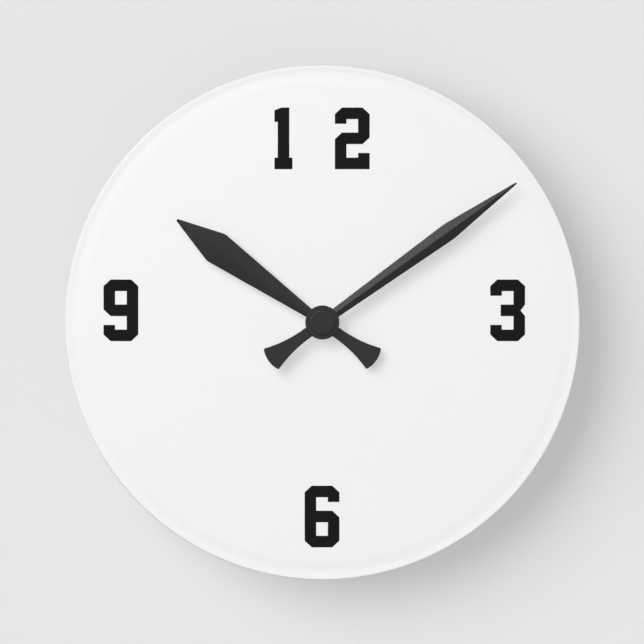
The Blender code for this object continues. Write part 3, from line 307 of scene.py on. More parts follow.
def revolve(profile, steps):
    """A turned solid. profile is (radius, height), its outer side from top to bottom."""
    bm = bmesh.new()
    rings = []
    for radius, height in profile:
        if radius <= 0.0:
            rings.append([bm.verts.new((0.0, 0.0, height))])
            continue
        ring = []
        for i in range(steps):
            a = 2 * math.pi * i / steps
            ring.append(bm.verts.new((radius * math.cos(a), radius * math.sin(a), height)))
        rings.append(ring)
    if len(rings[0]) > 1:
        rings.append(rings[0])
    for upper, lower in zip(rings, rings[1:]):
        for i in range(steps):
            j = (i + 1) % steps
            if len(upper) == 1:
                bm.faces.new((upper[0], lower[i], lower[j]))
            elif len(lower) == 1:
                bm.faces.new((upper[i], lower[0], upper[j]))
            else:
                bm.faces.new((upper[i], lower[i], lower[j], upper[j]))
    bmesh.ops.recalc_face_normals(bm, faces=bm.faces)
    return bm


def upper_corner(radius, height, inset, drop, count):
    """Profile points that round a turned solid's upper edge, from its top down to its side."""
    points = []
    for i in range(count + 1):
        a = math.radians(90.0 * (1 - i / count))
        points.append((radius - inset * (1 - math.cos(a)), height - drop * (1 - math.sin(a))))
    return points


def lower_corner(radius, height, size, count):
    """Profile points that round the lower edge, from the side down to the underside."""
    mirrored = upper_corner(radius, 0.0, size, size, count)[::-1]
    return [(r, height - h) for r, h in mirrored]


def drill(radius, low, high):
    """A solid that cuts a bore about the axis, right through whatever lies from low to high."""
    top = high + CUT_MARGIN
    bottom = low - CUT_MARGIN
    return revolve([(0.0, top), (radius, top), (radius, bottom), (0.0, bottom)], BORE_STEPS)


def prism(outline, low, high):
    """A closed outline pulled up from low to high."""
    bm = bmesh.new()
    face = bm.faces.new([bm.verts.new((x, y, low)) for x, y in outline])
    pulled = bmesh.ops.extrude_face_region(bm, geom=[face])
    top = [v for v in pulled["geom"] if isinstance(v, bmesh.types.BMVert)]
    bmesh.ops.translate(bm, verts=top, vec=(0.0, 0.0, high - low))
    bmesh.ops.recalc_face_normals(bm, faces=bm.faces)
    return bm


def loft(sections):
    """A closed skin through sections that have the same number of points each."""
    bm = bmesh.new()
    rings = [[bm.verts.new(point) for point in section] for section in sections]
    for ring, following in zip(rings, rings[1:]):
        for i in range(len(ring)):
            j = (i + 1) % len(ring)
            bm.faces.new((ring[i], ring[j], following[j], following[i]))
    bm.faces.new(rings[0][::-1])
    bm.faces.new(rings[-1])
    bmesh.ops.recalc_face_normals(bm, faces=bm.faces)
    return bm


def arc(centre, radius, start, end, count):
    """Points (x, y) on an arc, with angles in degrees."""
    points = []
    for i in range(count + 1):
        points.append(Vector(centre) + polar(radius, start + (end - start) * i / count))
    return points


def softened(name, node, material, body, width):
    """A copy of a CAD node with small rounded edges, which stands for the node."""
    bm = bmesh.new()
    bm.from_mesh(frame["nodes"][node].data)
    bmesh.ops.remove_doubles(bm, verts=bm.verts, dist=MERGE_DISTANCE)
    bmesh.ops.dissolve_limit(bm, angle_limit=math.radians(LEVEL_ANGLE), verts=bm.verts,
                             edges=bm.edges, delimit={"NORMAL"})
    obj = object_from(name, bm, laid=False)
    if "custom_normal" in obj.data.attributes:
        obj.data.attributes.remove(obj.data.attributes["custom_normal"])
    bevel = obj.modifiers.new("edges", "BEVEL")
    bevel.width = width
    bevel.segments = 2
    bevel.limit_method = "ANGLE"
    bevel.angle_limit = math.radians(SOFTENED_ANGLE)
    bevel.use_clamp_overlap = True
    apply_modifiers(obj)
    finish_piece(obj, material, body, [node])
    even_normals(obj)
    return obj


# --- materials ----------------------------------------------------------------------------
class Surface:
    """A Principled material with helpers that add detail at its real size."""

    def __init__(self, name, roughness=0.5, metallic=0.0, specular=0.5):
        self.material = bpy.data.materials.new(name)
        self.material.use_nodes = True
        self.tree = self.material.node_tree
        self.shader = self.tree.nodes["Principled BSDF"]
        self.shader.inputs["Roughness"].default_value = roughness
        self.shader.inputs["Metallic"].default_value = metallic
        self.shader.inputs["Specular IOR Level"].default_value = specular
        self.coords = self.tree.nodes.new("ShaderNodeTexCoord")
        self.normal = None

    def node(self, kind, **values):
        """A new node with some of its settings."""
        made = self.tree.nodes.new(kind)
        for name, value in values.items():
            setattr(made, name, value)
        return made

    def link(self, source, target):
        self.tree.links.new(source, target)

    def place(self, stretch=(1.0, 1.0, 1.0)):
        """Object coordinates, stretched."""
        mapping = self.node("ShaderNodeMapping")
        mapping.inputs["Scale"].default_value = stretch
        self.link(self.coords.outputs["Object"], mapping.inputs["Vector"])
        return mapping.outputs["Vector"]

    def noise(self, size, detail, stretch=(1.0, 1.0, 1.0)):
        """Noise whose features are about this size."""
        texture = self.node("ShaderNodeTexNoise")
        texture.inputs["Scale"].default_value = 1.0 / size
        texture.inputs["Detail"].default_value = detail
        self.link(self.place(stretch), texture.inputs["Vector"])
        return texture.outputs["Fac"]

    def spread(self, value, low, high, start=0.3, end=0.7):
        """Maps a value from start..end to low..high."""
        mapped = self.node("ShaderNodeMapRange")
        mapped.inputs["From Min"].default_value = start
        mapped.inputs["From Max"].default_value = end
        mapped.inputs["To Min"].default_value = low
        mapped.inputs["To Max"].default_value = high
        self.link(value, mapped.inputs["Value"])
        return mapped.outputs["Result"]

    def ramp(self, value, stops):
        """Colours along a value; stops are (position, colour)."""
        ramp = self.node("ShaderNodeValToRGB")
        elements = ramp.color_ramp.elements
        while len(elements) < len(stops):
            elements.new(0.5)
        for element, (position, colour) in zip(elements, stops):
            element.position = position
            element.color = (*colour, 1.0)
        self.link(value, ramp.inputs["Fac"])
        return ramp.outputs["Color"]

    def mix(self, factor, first, second):
        """Mixes two colours; second may be a socket or a colour."""
        mixed = self.node("ShaderNodeMix", data_type="RGBA")
        self.link(factor, mixed.inputs["Factor"])
        colour_inputs = [s for s in mixed.inputs if s.type == "RGBA"]
        for socket, value in zip(colour_inputs, (first, second)):
            if isinstance(value, tuple):
                socket.default_value = (*value, 1.0)
            else:
                self.link(value, socket)
        return [s for s in mixed.outputs if s.type == "RGBA"][0]

    def math(self, operation, first, second=None):
        """A math node's result; each operand is a number or a socket."""
        made = self.node("ShaderNodeMath", operation=operation)
        for socket, value in zip(made.inputs, (first, second)):
            if value is None:
                continue
            if isinstance(value, (int, float)):
                socket.default_value = value
            else:
                self.link(value, socket)
        return made.outputs["Value"]

    def colour(self, socket):
        self.link(socket, self.shader.inputs["Base Color"])

    def roughness(self, socket):
        self.link(socket, self.shader.inputs["Roughness"])

    def bump(self, height, depth):
        """Adds relief of this depth on top of any earlier relief."""
        bump = self.node("ShaderNodeBump")
        bump.inputs["Distance"].default_value = depth
        self.link(height, bump.inputs["Height"])
        if self.normal is not None:
            self.link(self.normal, bump.inputs["Normal"])
        self.normal = bump.outputs["Normal"]
        self.link(self.normal, self.shader.inputs["Normal"])

    def edges(self, base, worn):
        """base, with the worn colour mixed in at edges, where a rounded normal leaves the real one."""
        geometry = self.node("ShaderNodeNewGeometry")
        rounded = self.node("ShaderNodeBevel", samples=WEAR_SAMPLES)
        rounded.inputs["Radius"].default_value = WEAR_WIDTH
        agreement = self.node("ShaderNodeVectorMath", operation="DOT_PRODUCT")
        self.link(geometry.outputs["Normal"], agreement.inputs[0])
        self.link(rounded.outputs["Normal"], agreement.inputs[1])
        amount = self.spread(agreement.outputs["Value"], WEAR_AMOUNT, 0.0, 0.9, 0.995)
        return self.mix(amount, base, worn)


def plain(name, dark, light, rough, patch, grain, depth, metallic=0.0, specular=0.5,
          stretch=(1.0, 1.0, 1.0), worn=None):
    """The common build: patchy colour and roughness over a fine grain."""
    s = Surface(name, metallic=metallic, specular=specular)
    tone = s.ramp(s.noise(patch, 4.0, stretch), [(0.3, dark), (0.7, light)])
    if worn:
        tone = s.edges(tone, worn)
    s.colour(tone)
    s.roughness(s.spread(s.noise(patch * 0.37, 5.0, stretch), *rough))
    s.bump(s.noise(grain, 2.0, stretch), depth)
    return s


def opal_acrylic():
    s = Surface("opal_acrylic")
    dark = (0.785, 0.785, 0.802)
    light = (0.791, 0.791, 0.806)
    s.colour(s.ramp(s.noise(45 * MM, 2.0), [(0.3, dark), (0.7, light)]))
    hairlines = s.noise(0.6 * MM, 2.0, (1.0, 1.0, 0.03))
    handled = s.math("ADD", s.noise(16 * MM, 5.0), s.math("MULTIPLY", hairlines, 0.3))
    s.roughness(s.spread(handled, 0.42, 0.50, 0.5, 0.8))
    s.bump(s.noise(14 * MM, 2.0), 0.004 * MM)
    s.bump(s.noise(0.5 * MM, 3.0), 0.0004 * MM)
    return s


def printed_ink():
    s = Surface("printed_ink", specular=0.06)
    dark = (0.0078, 0.0078, 0.0081)
    light = (0.0094, 0.0094, 0.0094)
    s.colour(s.ramp(s.noise(3 * MM, 4.0), [(0.3, dark), (0.7, light)]))
    s.roughness(s.spread(s.noise(1.2 * MM, 4.0), 0.55, 0.68))
    s.bump(s.noise(0.16 * MM, 3.0), 0.003 * MM)
    return s


def hand_plastic():
    return plain("satin_hand_plastic", dark=(0.0180, 0.0180, 0.0185), light=(0.0210, 0.0210, 0.0215),
                 rough=(0.22, 0.27), patch=9 * MM, grain=0.22 * MM, depth=0.0008 * MM,
                 specular=0.36, worn=(0.028, 0.028, 0.029))


def case_plastic():
    return plain("moulded_case_plastic", dark=(0.026, 0.026, 0.027), light=(0.038, 0.038, 0.039),
                 rough=(0.36, 0.5), patch=12 * MM, grain=0.45 * MM, depth=0.022 * MM,
                 worn=(0.11, 0.11, 0.112))


def knob_plastic():
    return plain("satin_knob_plastic", dark=(0.040, 0.040, 0.044), light=(0.056, 0.056, 0.060),
                 rough=(0.36, 0.48), patch=4 * MM, grain=0.3 * MM, depth=0.008 * MM,
                 worn=(0.10, 0.10, 0.105))


def gear_plastic():
    s = plain("natural_acetal", dark=(0.70, 0.69, 0.645), light=(0.77, 0.76, 0.72),
              rough=(0.38, 0.5), patch=6 * MM, grain=0.3 * MM, depth=0.004 * MM,
              worn=(0.82, 0.81, 0.78))
    s.shader.inputs["Subsurface Weight"].default_value = 0.12
    s.shader.inputs["Subsurface Scale"].default_value = 0.6 * MM
    return s


def rubber():
    return plain("black_rubber", dark=(0.016, 0.016, 0.016), light=(0.030, 0.030, 0.029),
                 rough=(0.72, 0.9), patch=3 * MM, grain=0.25 * MM, depth=0.015 * MM, specular=0.3)


def brass():
    """Brass with the fine rings that a lathe leaves."""
    s = plain("turned_brass", dark=(0.70, 0.49, 0.20), light=(0.83, 0.62, 0.29),
              rough=(0.2, 0.36), patch=5 * MM, grain=0.5 * MM, depth=0.002 * MM,
              metallic=1.0, worn=(0.88, 0.70, 0.38))
    turning = s.node("ShaderNodeTexWave", wave_type="RINGS", rings_direction="Y")
    turning.inputs["Scale"].default_value = 1.0 / (1.6 * MM)
    turning.inputs["Distortion"].default_value = 0.6
    s.link(s.place(), turning.inputs["Vector"])
    s.bump(turning.outputs["Fac"], 0.003 * MM)
    return s


def steel():
    return plain("rolled_steel", dark=(0.50, 0.50, 0.515), light=(0.66, 0.66, 0.675),
                 rough=(0.24, 0.42), patch=5 * MM, grain=0.35 * MM, depth=0.003 * MM,
                 metallic=1.0, stretch=(0.15, 1.0, 1.0), worn=(0.74, 0.74, 0.75))


def spring_steel():
    return plain("nickelled_spring_steel", dark=(0.60, 0.60, 0.60), light=(0.74, 0.735, 0.71),
                 rough=(0.16, 0.3), patch=4 * MM, grain=0.4 * MM, depth=0.002 * MM,
                 metallic=1.0, stretch=(0.3, 1.0, 1.0), worn=(0.8, 0.79, 0.76))


def magnet():
    return plain("sintered_magnet", dark=(0.09, 0.09, 0.095), light=(0.16, 0.16, 0.165),
                 rough=(0.42, 0.6), patch=1.5 * MM, grain=0.12 * MM, depth=0.006 * MM,
                 metallic=0.6)


def copper_wire():
    """Enamelled wire, with the coil's turns side by side along x."""
    s = plain("enamelled_copper", dark=(0.58, 0.22, 0.085), light=(0.78, 0.36, 0.16),
              rough=(0.24, 0.4), patch=1.2 * MM, grain=0.2 * MM, depth=0.002 * MM, metallic=1.0)
    turns = s.node("ShaderNodeTexWave", wave_type="BANDS", bands_direction="X")
    turns.inputs["Scale"].default_value = 1.0 / (3.2 * MM)
    s.link(s.place((10.0, 1.0, 1.0)), turns.inputs["Vector"])
    s.bump(turns.outputs["Fac"], 0.05 * MM)
    return s


def board_green():
    """Solder mask over a raised pattern of tracks."""
    s = plain("solder_mask", dark=(0.012, 0.13, 0.050), light=(0.020, 0.18, 0.075),
              rough=(0.28, 0.42), patch=4 * MM, grain=0.3 * MM, depth=0.003 * MM)
    tracks = s.node("ShaderNodeTexBrick")
    tracks.inputs["Scale"].default_value = 1.0 / (4.0 * MM)
    tracks.inputs["Mortar Size"].default_value = 0.12
    s.link(s.place(), tracks.inputs["Vector"])
    s.bump(tracks.outputs["Fac"], 0.03 * MM)
    return s


def chip_resin():
    return plain("potting_resin", dark=(0.008, 0.008, 0.009), light=(0.018, 0.018, 0.019),
                 rough=(0.16, 0.3), patch=2 * MM, grain=0.9 * MM, depth=0.02 * MM)


def sleeve_bands(s, along):
    """Printed bands from the negative end, at 0, to the positive end, at 1."""
    green = (0.012, 0.115, 0.062)
    silver = (0.50, 0.51, 0.52)
    stops = [(0.0, silver), (0.035, SLEEVE_DEEP), (0.09, green), (0.70, silver), (0.715, green),
             (0.735, silver), (0.955, SLEEVE_DEEP)]
    bands = s.ramp(along, stops)
    bands.node.color_ramp.interpolation = "CONSTANT"
    return bands


def plus_sign(s, first, second):
    """1 inside a plus sign, where first and second are the distances from its two axes."""
    arm = 1.7 * MM
    half = 0.42 * MM
    upright = s.math("MULTIPLY", s.math("LESS_THAN", first, arm), s.math("LESS_THAN", second, half))
    level = s.math("MULTIPLY", s.math("LESS_THAN", first, half), s.math("LESS_THAN", second, arm))
    return s.math("MAXIMUM", upright, level)


def battery_sleeve():
    """A printed sleeve: green, with a silver band and a plus sign at the positive end."""
    low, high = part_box("battery_sleeve")
    length = high.x - low.x
    s = Surface("printed_sleeve", specular=0.55)
    split = s.node("ShaderNodeSeparateXYZ")
    s.link(s.place(), split.inputs["Vector"])
    along = s.math("DIVIDE", s.math("SUBTRACT", split.outputs["X"], low.x), length)
    bands = sleeve_bands(s, along)
    sign_place = high.x - 0.155 * length
    across = s.math("ABSOLUTE", s.math("SUBTRACT", split.outputs["Z"], (low.z + high.z) / 2))
    lengthwise = s.math("ABSOLUTE", s.math("SUBTRACT", split.outputs["X"], sign_place))
    printed = s.mix(plus_sign(s, across, lengthwise), bands, SLEEVE_DEEP)
    scuffs = s.spread(s.noise(2 * MM, 5.0), 0.0, 0.12)
    s.colour(s.mix(scuffs, printed, (0.3, 0.31, 0.3)))
    s.roughness(s.spread(s.noise(5 * MM, 5.0), 0.2, 0.34))
    s.bump(s.noise(5 * MM, 2.0), 0.02 * MM)
    return s


def make_materials():
    """Each material slot's material."""
    surfaces = {
        "dial_acrylic": opal_acrylic(),
        "ink": printed_ink(),
        "hand_plastic": hand_plastic(),
        "case_plastic": case_plastic(),
        "knob_plastic": knob_plastic(),
        "gear_plastic": gear_plastic(),
        "rubber": rubber(),
        "brass": brass(),
        "steel": steel(),
        "spring_steel": spring_steel(),
        "magnet": magnet(),
        "copper_wire": copper_wire(),
        "board_green": board_green(),
        "chip_resin": chip_resin(),
        "battery_sleeve": battery_sleeve(),
    }
    return {slot: surface.material for slot, surface in surfaces.items()}


# --- dial ---------------------------------------------------------------------------------
def smooth(t):
    """Rises from 0 to 1 with level ends."""
    return 3 * t**2 - 2 * t**3


def rim_offset(inside):
    """How far the face lies below its plane, at a distance inside the dial's edge."""
    if inside >= RIM_WIDTH:
        return 0.0
    if inside >= RIM_VALLEY:
        return RIM_DEPTH * smooth((RIM_WIDTH - inside) / (RIM_WIDTH - RIM_VALLEY))
    rise = (RIM_VALLEY - inside) / (RIM_VALLEY - RIM_CREST)
    return RIM_DEPTH * (1 - smooth(min(rise, 1.0)))


def make_dial(material):
    low, high = laid_box("dial")
    radius = (high.x - low.x) / 2
    face = high.z
    profile = [(CENTRE_HOLE, face), (radius * 0.3, face), (radius * 0.6, face)]
    for i in range(RIM_POINTS + 1):
        inside = RIM_WIDTH + (EDGE_ROUND - RIM_WIDTH) * i / RIM_POINTS
        profile.append((radius - inside, face - rim_offset(inside)))
    profile += upper_corner(radius, face, EDGE_ROUND, EDGE_ROUND, 8)[1:]
    profile += lower_corner(radius, low.z, BACK_ROUND, 4)
    profile.append((CENTRE_HOLE, low.z))
    dial = object_from("dial_disc", revolve(profile, DIAL_STEPS))
    return finish_piece(dial, material, "clock", ["dial"], sharp=DIAL_SHARP_ANGLE)


# --- hands --------------------------------------------------------------------------------
def smaller(a, b, softness):
    """The smaller of two lengths, with the corner between them rounded."""
    low = min(a, b)
    return low - softness * math.log(math.exp((low - a) / softness) + math.exp((low - b) / softness))


def tail_half_width(distance):
    """Half the tail's width at a distance from the hub's axis: a flare with a bulged end."""
    t = max(distance - HUB_RADIUS, 0.0) / (TAIL_CORNER - HUB_RADIUS)
    flare = TAIL_HUB_HALF_WIDTH + (TAIL_END_HALF_WIDTH - TAIL_HUB_HALF_WIDTH) * t**TAIL_FLARE
    radius = (TAIL_END_HALF_WIDTH**2 + TAIL_END_BULGE**2) / (2 * TAIL_END_BULGE)
    depth = radius - max(TAIL_REACH - distance, 0.0)
    end = math.sqrt(max(radius**2 - depth**2, 0.0))
    return max(smaller(flare, end, TAIL_SOFTNESS), TAIL_LEAST_HALF_WIDTH)


def blade_half_width(y, reach, shape):
    """Half the blade's width at a distance from the hub's axis: wide at the shoulder."""
    rise = (shape["half_width"] - BLADE_HUB_HALF_WIDTH) / (shape["shoulder"] - HUB_RADIUS)
    fall = (shape["half_width"] - shape["tip_half_width"]) / (reach - shape["shoulder"])
    growing = BLADE_HUB_HALF_WIDTH + rise * (y - HUB_RADIUS)
    shrinking = shape["tip_half_width"] + fall * (reach - y)
    return smaller(growing, shrinking, shape["softness"])


def hand_section(y, half_width, low, top):
    """Points across a hand: flat below, soft edges, two facets up to the middle."""
    soft = min(EDGE_SOFT, half_width * EDGE_SOFT_SHARE)
    edge = low + BLADE_EDGE
    slope = (top - edge) / half_width
    ridge = half_width * RIDGE_SHARE
    right = [
        (half_width - soft * 0.5, low),
        (half_width, low + soft * 0.5),
        (half_width, edge - soft),
        (half_width - soft * 0.3, edge - soft * 0.3),
        (half_width - soft, edge + slope * soft),
        (ridge, top - slope * ridge),
    ]
    left = [(-x, h) for x, h in right[::-1]]
    return [(x, y, h) for x, h in right + left]


def hand_sections(low, reach, shape):
    """Sections from the end of the tail, under the hub, to the blade's tip."""
    start = HUB_RADIUS * HUB_OVERLAP
    sections = []
    for i in range(TAIL_SECTIONS + 1):
        eased = 1 - math.cos(math.radians(90.0 * i / TAIL_SECTIONS))
        distance = min(TAIL_REACH - (TAIL_REACH - start) * eased, TAIL_REACH - TAIL_END_GAP)
        sections.append(hand_section(-distance, tail_half_width(distance), low, low + BLADE_EDGE))
    for i in range(BLADE_SECTIONS + 1):
        y = start + (reach - start) * i / BLADE_SECTIONS
        half_width = blade_half_width(y, reach, shape)
        top = low + BLADE_EDGE + BLADE_RISE * half_width / shape["half_width"]
        sections.append(hand_section(y, half_width, low, top))
    return sections


def hub_profile(low, high, bore):
    flat = HUB_RADIUS - HUB_ROUND
    profile = [(bore, high), (flat - SUPPORT_RING, high), (flat, high)]
    profile += upper_corner(HUB_RADIUS, high, HUB_ROUND, HUB_ROUND, CORNER_STEPS)[1:]
    profile += [(HUB_RADIUS, low + HUB_CHAMFER), (HUB_RADIUS - HUB_CHAMFER, low), (bore, low)]
    return profile


def hand_line(node):
    """The length of a hand's blade and its angle from +x, read from the CAD node."""
    tip = max(frame["nodes"][node].data.vertices, key=lambda v: Vector((v.co.x, v.co.z)).length)
    return Vector((tip.co.x, tip.co.z)).length, math.atan2(tip.co.z, tip.co.x)


def make_hand(name, node, material, body, shape):
    """A hand laid along +y, bored, given its hub, and then turned to the CAD node's angle."""
    low, high = laid_box(node)
    reach, angle = hand_line(node)
    hand = object_from(name, loft(hand_sections(low.z + BLADE_LIFT, reach, shape)))
    combine(hand, [drill(shape["bore"], low.z, high.z)], "DIFFERENCE")
    combine(hand, [revolve(hub_profile(low.z, high.z, shape["bore"]), HUB_STEPS)], "UNION")
    turn = Matrix.Rotation(angle - math.pi / 2, 4, "Z")
    hand.data.transform(UPRIGHT @ turn @ UPRIGHT.inverted())
    return finish_piece(hand, material, body, [node], sharp=HAND_SHARP_ANGLE)


def make_hub_cap(material):
    low, high = laid_box("hub_cap")
    radius = (high.x - low.x) / 2
    flat = radius - CAP_INSET
    button = [(0.0, high.z), (flat - SUPPORT_RING, high.z), (flat, high.z)]
    button += upper_corner(radius, high.z, CAP_INSET, CAP_DROP, 6)[1:]
    button += [(radius, low.z + CAP_CHAMFER), (radius - CAP_CHAMFER, low.z), (0.0, low.z)]
    cap = object_from("hub_cap_button", revolve(button, HUB_STEPS))
    return finish_piece(cap, material, "minute", ["hub_cap"])


# --- what clamps the movement to the dial -------------------------------------------------
def make_nut(material):
    """A hexagon with both faces chamfered where the nut's corners are turned off."""
    low, high = laid_box("hex_nut")
    corner = (high.y - low.y) / 2
    hexagon = prism([polar(corner, 90.0 + 60.0 * i) for i in range(6)], low.z, high.z)
    nut = object_from("hex_nut_chamfered", hexagon)
    waist = corner * NUT_FACE_SHARE
    past = corner * 1.01
    turned = [(0.0, high.z), (waist, high.z), (past, high.z - NUT_CHAMFER),
              (past, low.z + NUT_CHAMFER), (waist, low.z), (0.0, low.z)]
    combine(nut, [revolve(turned, TURNED_STEPS)], "INTERSECT")
    combine(nut, [drill(CENTRE_HOLE, low.z, high.z)], "DIFFERENCE")
    return finish_piece(nut, material, "clock", ["hex_nut"])


def make_ring(name, node, material, soft):
    """A flat ring round the bushing, with its outer edges chamfered."""
    low, high = laid_box(node)
    outer = (high.x - low.x) / 2
    profile = [(CENTRE_HOLE, high.z), (outer - soft, high.z), (outer, high.z - soft),
               (outer, low.z + soft), (outer - soft, low.z), (CENTRE_HOLE, low.z)]
    ring = object_from(name, revolve(profile, TURNED_STEPS))
    return finish_piece(ring, material, "clock", [node])


def threaded_tube(radius, low, high):
    """A tube whose outside has one helical thread that runs out at both ends."""
    rows = int((high - low) / THREAD_PITCH * THREAD_ROWS)
    profile = [(THREAD_BORE, high)]
    profile += [(radius, high + (low - high) * i / rows) for i in range(rows + 1)]
    profile.append((THREAD_BORE, low))
    bm = revolve(profile, THREAD_STEPS)
    run_out = 0.5 * THREAD_PITCH
    for v in bm.verts:
        if math.hypot(v.co.x, v.co.y) < (radius + THREAD_BORE) / 2:
            continue
        turn = math.atan2(v.co.y, v.co.x) / (2 * math.pi)
        phase = (v.co.z / THREAD_PITCH + turn) % 1.0
        fade = min((high - v.co.z) / run_out, (v.co.z - low) / run_out, 1.0)
        cut = THREAD_DEPTH * abs(2 * phase - 1) * fade + THREAD_END_CUT * (1 - fade)
        shrink = (radius - cut) / radius
        v.co.x *= shrink
        v.co.y *= shrink
    return bm


def make_bushing(material):
    low, high = laid_box("threaded_bushing")
    tube = threaded_tube((high.x - low.x) / 2, low.z, high.z)
    bushing = object_from("bushing_threaded", tube)
    return finish_piece(bushing, material, "clock", ["threaded_bushing"])


# --- movement -----------------------------------------------------------------------------
def arrow_ring(centre, radius, start, end, width):
    """Outline of a curved arrow round a centre, its head at the end angle."""
    inner = arc(centre, radius - width / 2, start, end, ARC_STEPS)
    outer = arc(centre, radius + width / 2, end, start, ARC_STEPS)
    barb = width * 1.6
    tip = [
        Vector(centre) + polar(radius - barb, end),
        Vector(centre) + polar(radius, end + ARROW_HEAD),
        Vector(centre) + polar(radius + barb, end),
    ]
    return inner + tip + outer


def plus_outline(centre, arm, half):
    steps = [(half, arm), (half, half), (arm, half), (arm, -half), (half, -half), (half, -arm),
             (-half, -arm), (-half, -half), (-arm, -half), (-arm, half), (-half, half), (-half, arm)]
    return [(centre[0] + x, centre[1] + y) for x, y in steps]


def box_outline(centre, width, height, corner):
    """A rectangle with rounded corners."""
    points = []
    for sx, sy, start in ((1, 1, 0), (-1, 1, 90), (-1, -1, 180), (1, -1, 270)):
        middle = (centre[0] + sx * (width / 2 - corner), centre[1] + sy * (height / 2 - corner))
        points += arc(middle, corner, start, start + 90, CORNER_STEPS)
    return points


def cover_marks():
    """Solids that press two arrows, two battery signs, a blank panel and pin marks into the cover."""
    knob = laid_centre("setting_knob")
    surface = laid_box("rear_cover")[0].z
    base = surface - 0.5 * MM
    marks = []
    for start, end in ARROW_SPANS:
        arrow = arrow_ring((knob.x, knob.y), ARROW_RADIUS, start, end, ARROW_WIDTH)
        marks.append(prism(arrow, base, surface + MARK_DEPTH))
    plus = plus_outline(PLUS_PLACE, SIGN_ARM, SIGN_HALF)
    marks.append(prism(plus, base, surface + MARK_DEPTH))
    minus = box_outline(MINUS_PLACE, 2 * SIGN_ARM, 2 * SIGN_HALF, SIGN_CORNER)
    marks.append(prism(minus, base, surface + MARK_DEPTH))
    blank = box_outline(PANEL_PLACE, PANEL_WIDTH, PANEL_HEIGHT, PANEL_CORNER)
    marks.append(prism(blank, base, surface + PANEL_DEPTH))
    for place in PIN_PLACES:
        marks.append(prism(arc(place, PIN_RADIUS, 0.0, 345.0, 23), base, surface + PIN_DEPTH))
    return marks


def make_cover(material):
    """The rear cover; its normals are evened again after the marks are cut."""
    cover = softened("back_shell", "rear_cover", material, "clock", SHELL_SOFT)
    cover.modifiers.clear()
    combine(cover, cover_marks(), "DIFFERENCE")
    cover.data.shade_smooth()
    cover.data.set_sharp_from_angle(angle=math.radians(SHARP_ANGLE))
    even_normals(cover)
    return cover


def make_case(m):
    case = m["case_plastic"]
    softened("front_shell", "movement_case", case, "clock", SHELL_SOFT)
    make_cover(case)
    softened("hanger_plate", "hanger", case, "clock", HANGER_SOFT)
    softened("setting_knob_ribbed", "setting_knob", m["knob_plastic"], "setting",
             KNOB_SOFT)


# --- battery ------------------------------------------------------------------------------
def make_cell_part(name, node, profile, material):
    """A turned part of the cell, whose axis lies along x."""
    low, high = laid_box(node)
    centre = (low + high) / 2
    bm = revolve(profile, TURNED_STEPS)
    lie = Matrix.Rotation(math.radians(90.0), 4, "Y")
    bm.transform(Matrix.Translation((0.0, centre.y, centre.z)) @ lie)
    return finish_piece(object_from(name, bm), material, "battery", [node])


def make_battery_can(material):
    """The steel can, with a shallow ring round the terminal at both ends."""
    low, high = laid_box("battery_can")
    radius = (high.y - low.y) / 2
    rim = 0.5 * MM
    top_ring = high.x - 0.25 * MM
    end_ring = low.x + 0.2 * MM
    profile = [
        (0.0, high.x), (radius - 2.2 * MM, high.x),
        (radius - 1.9 * MM, top_ring), (radius - 1.2 * MM, top_ring),
        (radius - 0.9 * MM, high.x), (radius - rim, high.x), (radius, high.x - rim),
        (radius, low.x + rim), (radius - rim, low.x), (radius - 1.2 * MM, low.x),
        (radius - 1.5 * MM, end_ring), (radius - 2.1 * MM, end_ring),
        (radius - 2.4 * MM, low.x), (0.0, low.x),
    ]
    return make_cell_part("battery_body", "battery_can", profile, material)


def make_battery_nub(material):
    low, high = laid_box("battery_positive_cap")
    radius = (high.y - low.y) / 2
    soft = 0.35 * MM
    knee = 0.1 * MM
    profile = [(0.0, high.x), (radius - soft, high.x), (radius - knee, high.x - knee),
               (radius, high.x - soft), (radius, low.x), (0.0, low.x)]
    return make_cell_part("battery_nub", "battery_positive_cap", profile, material)


def make_battery_jacket(material):
    """The shrunk sleeve, which curls over the can at both ends."""
    low, high = laid_box("battery_sleeve")
    radius = (high.y - low.y) / 2
    bore = radius - 0.35 * MM
    lip = 0.3 * MM
    curl = radius - 0.15 * MM
    knee = radius - 0.04 * MM
    knee_rise = 0.1 * MM
    profile = [(bore, high.x), (curl, high.x), (knee, high.x - knee_rise), (radius, high.x - lip),
               (radius, low.x + lip), (knee, low.x + knee_rise), (curl, low.x), (bore, low.x)]
    return make_cell_part("battery_jacket", "battery_sleeve", profile, material)


def make_contacts(material):
    softened("contact_strip_plus", "positive_contact", material, "clock",
             CONTACT_SOFT)
    softened("contact_strip_minus", "negative_contact", material, "clock",
             CONTACT_SOFT)


def dress_frame(m):
    """The CAD nodes that still show take their slot's material."""
    slots = {p["node"]: p["material_slot"] for p in frame["record"]["subparts"]}
    for name, obj in frame["nodes"].items():
        if obj.hide_render:
            continue
        obj.data.materials.clear()
        obj.data.materials.append(m[slots[name]])


# --- stage --------------------------------------------------------------------------------
def panel(name, corners, material):
    mesh = bpy.data.meshes.new(name)
    mesh.from_pydata(corners, [], [(0, 1, 2, 3)])
    mesh.materials.append(material)
    obj = bpy.data.objects.new(name, mesh)
    bpy.context.scene.collection.objects.link(obj)
    return obj


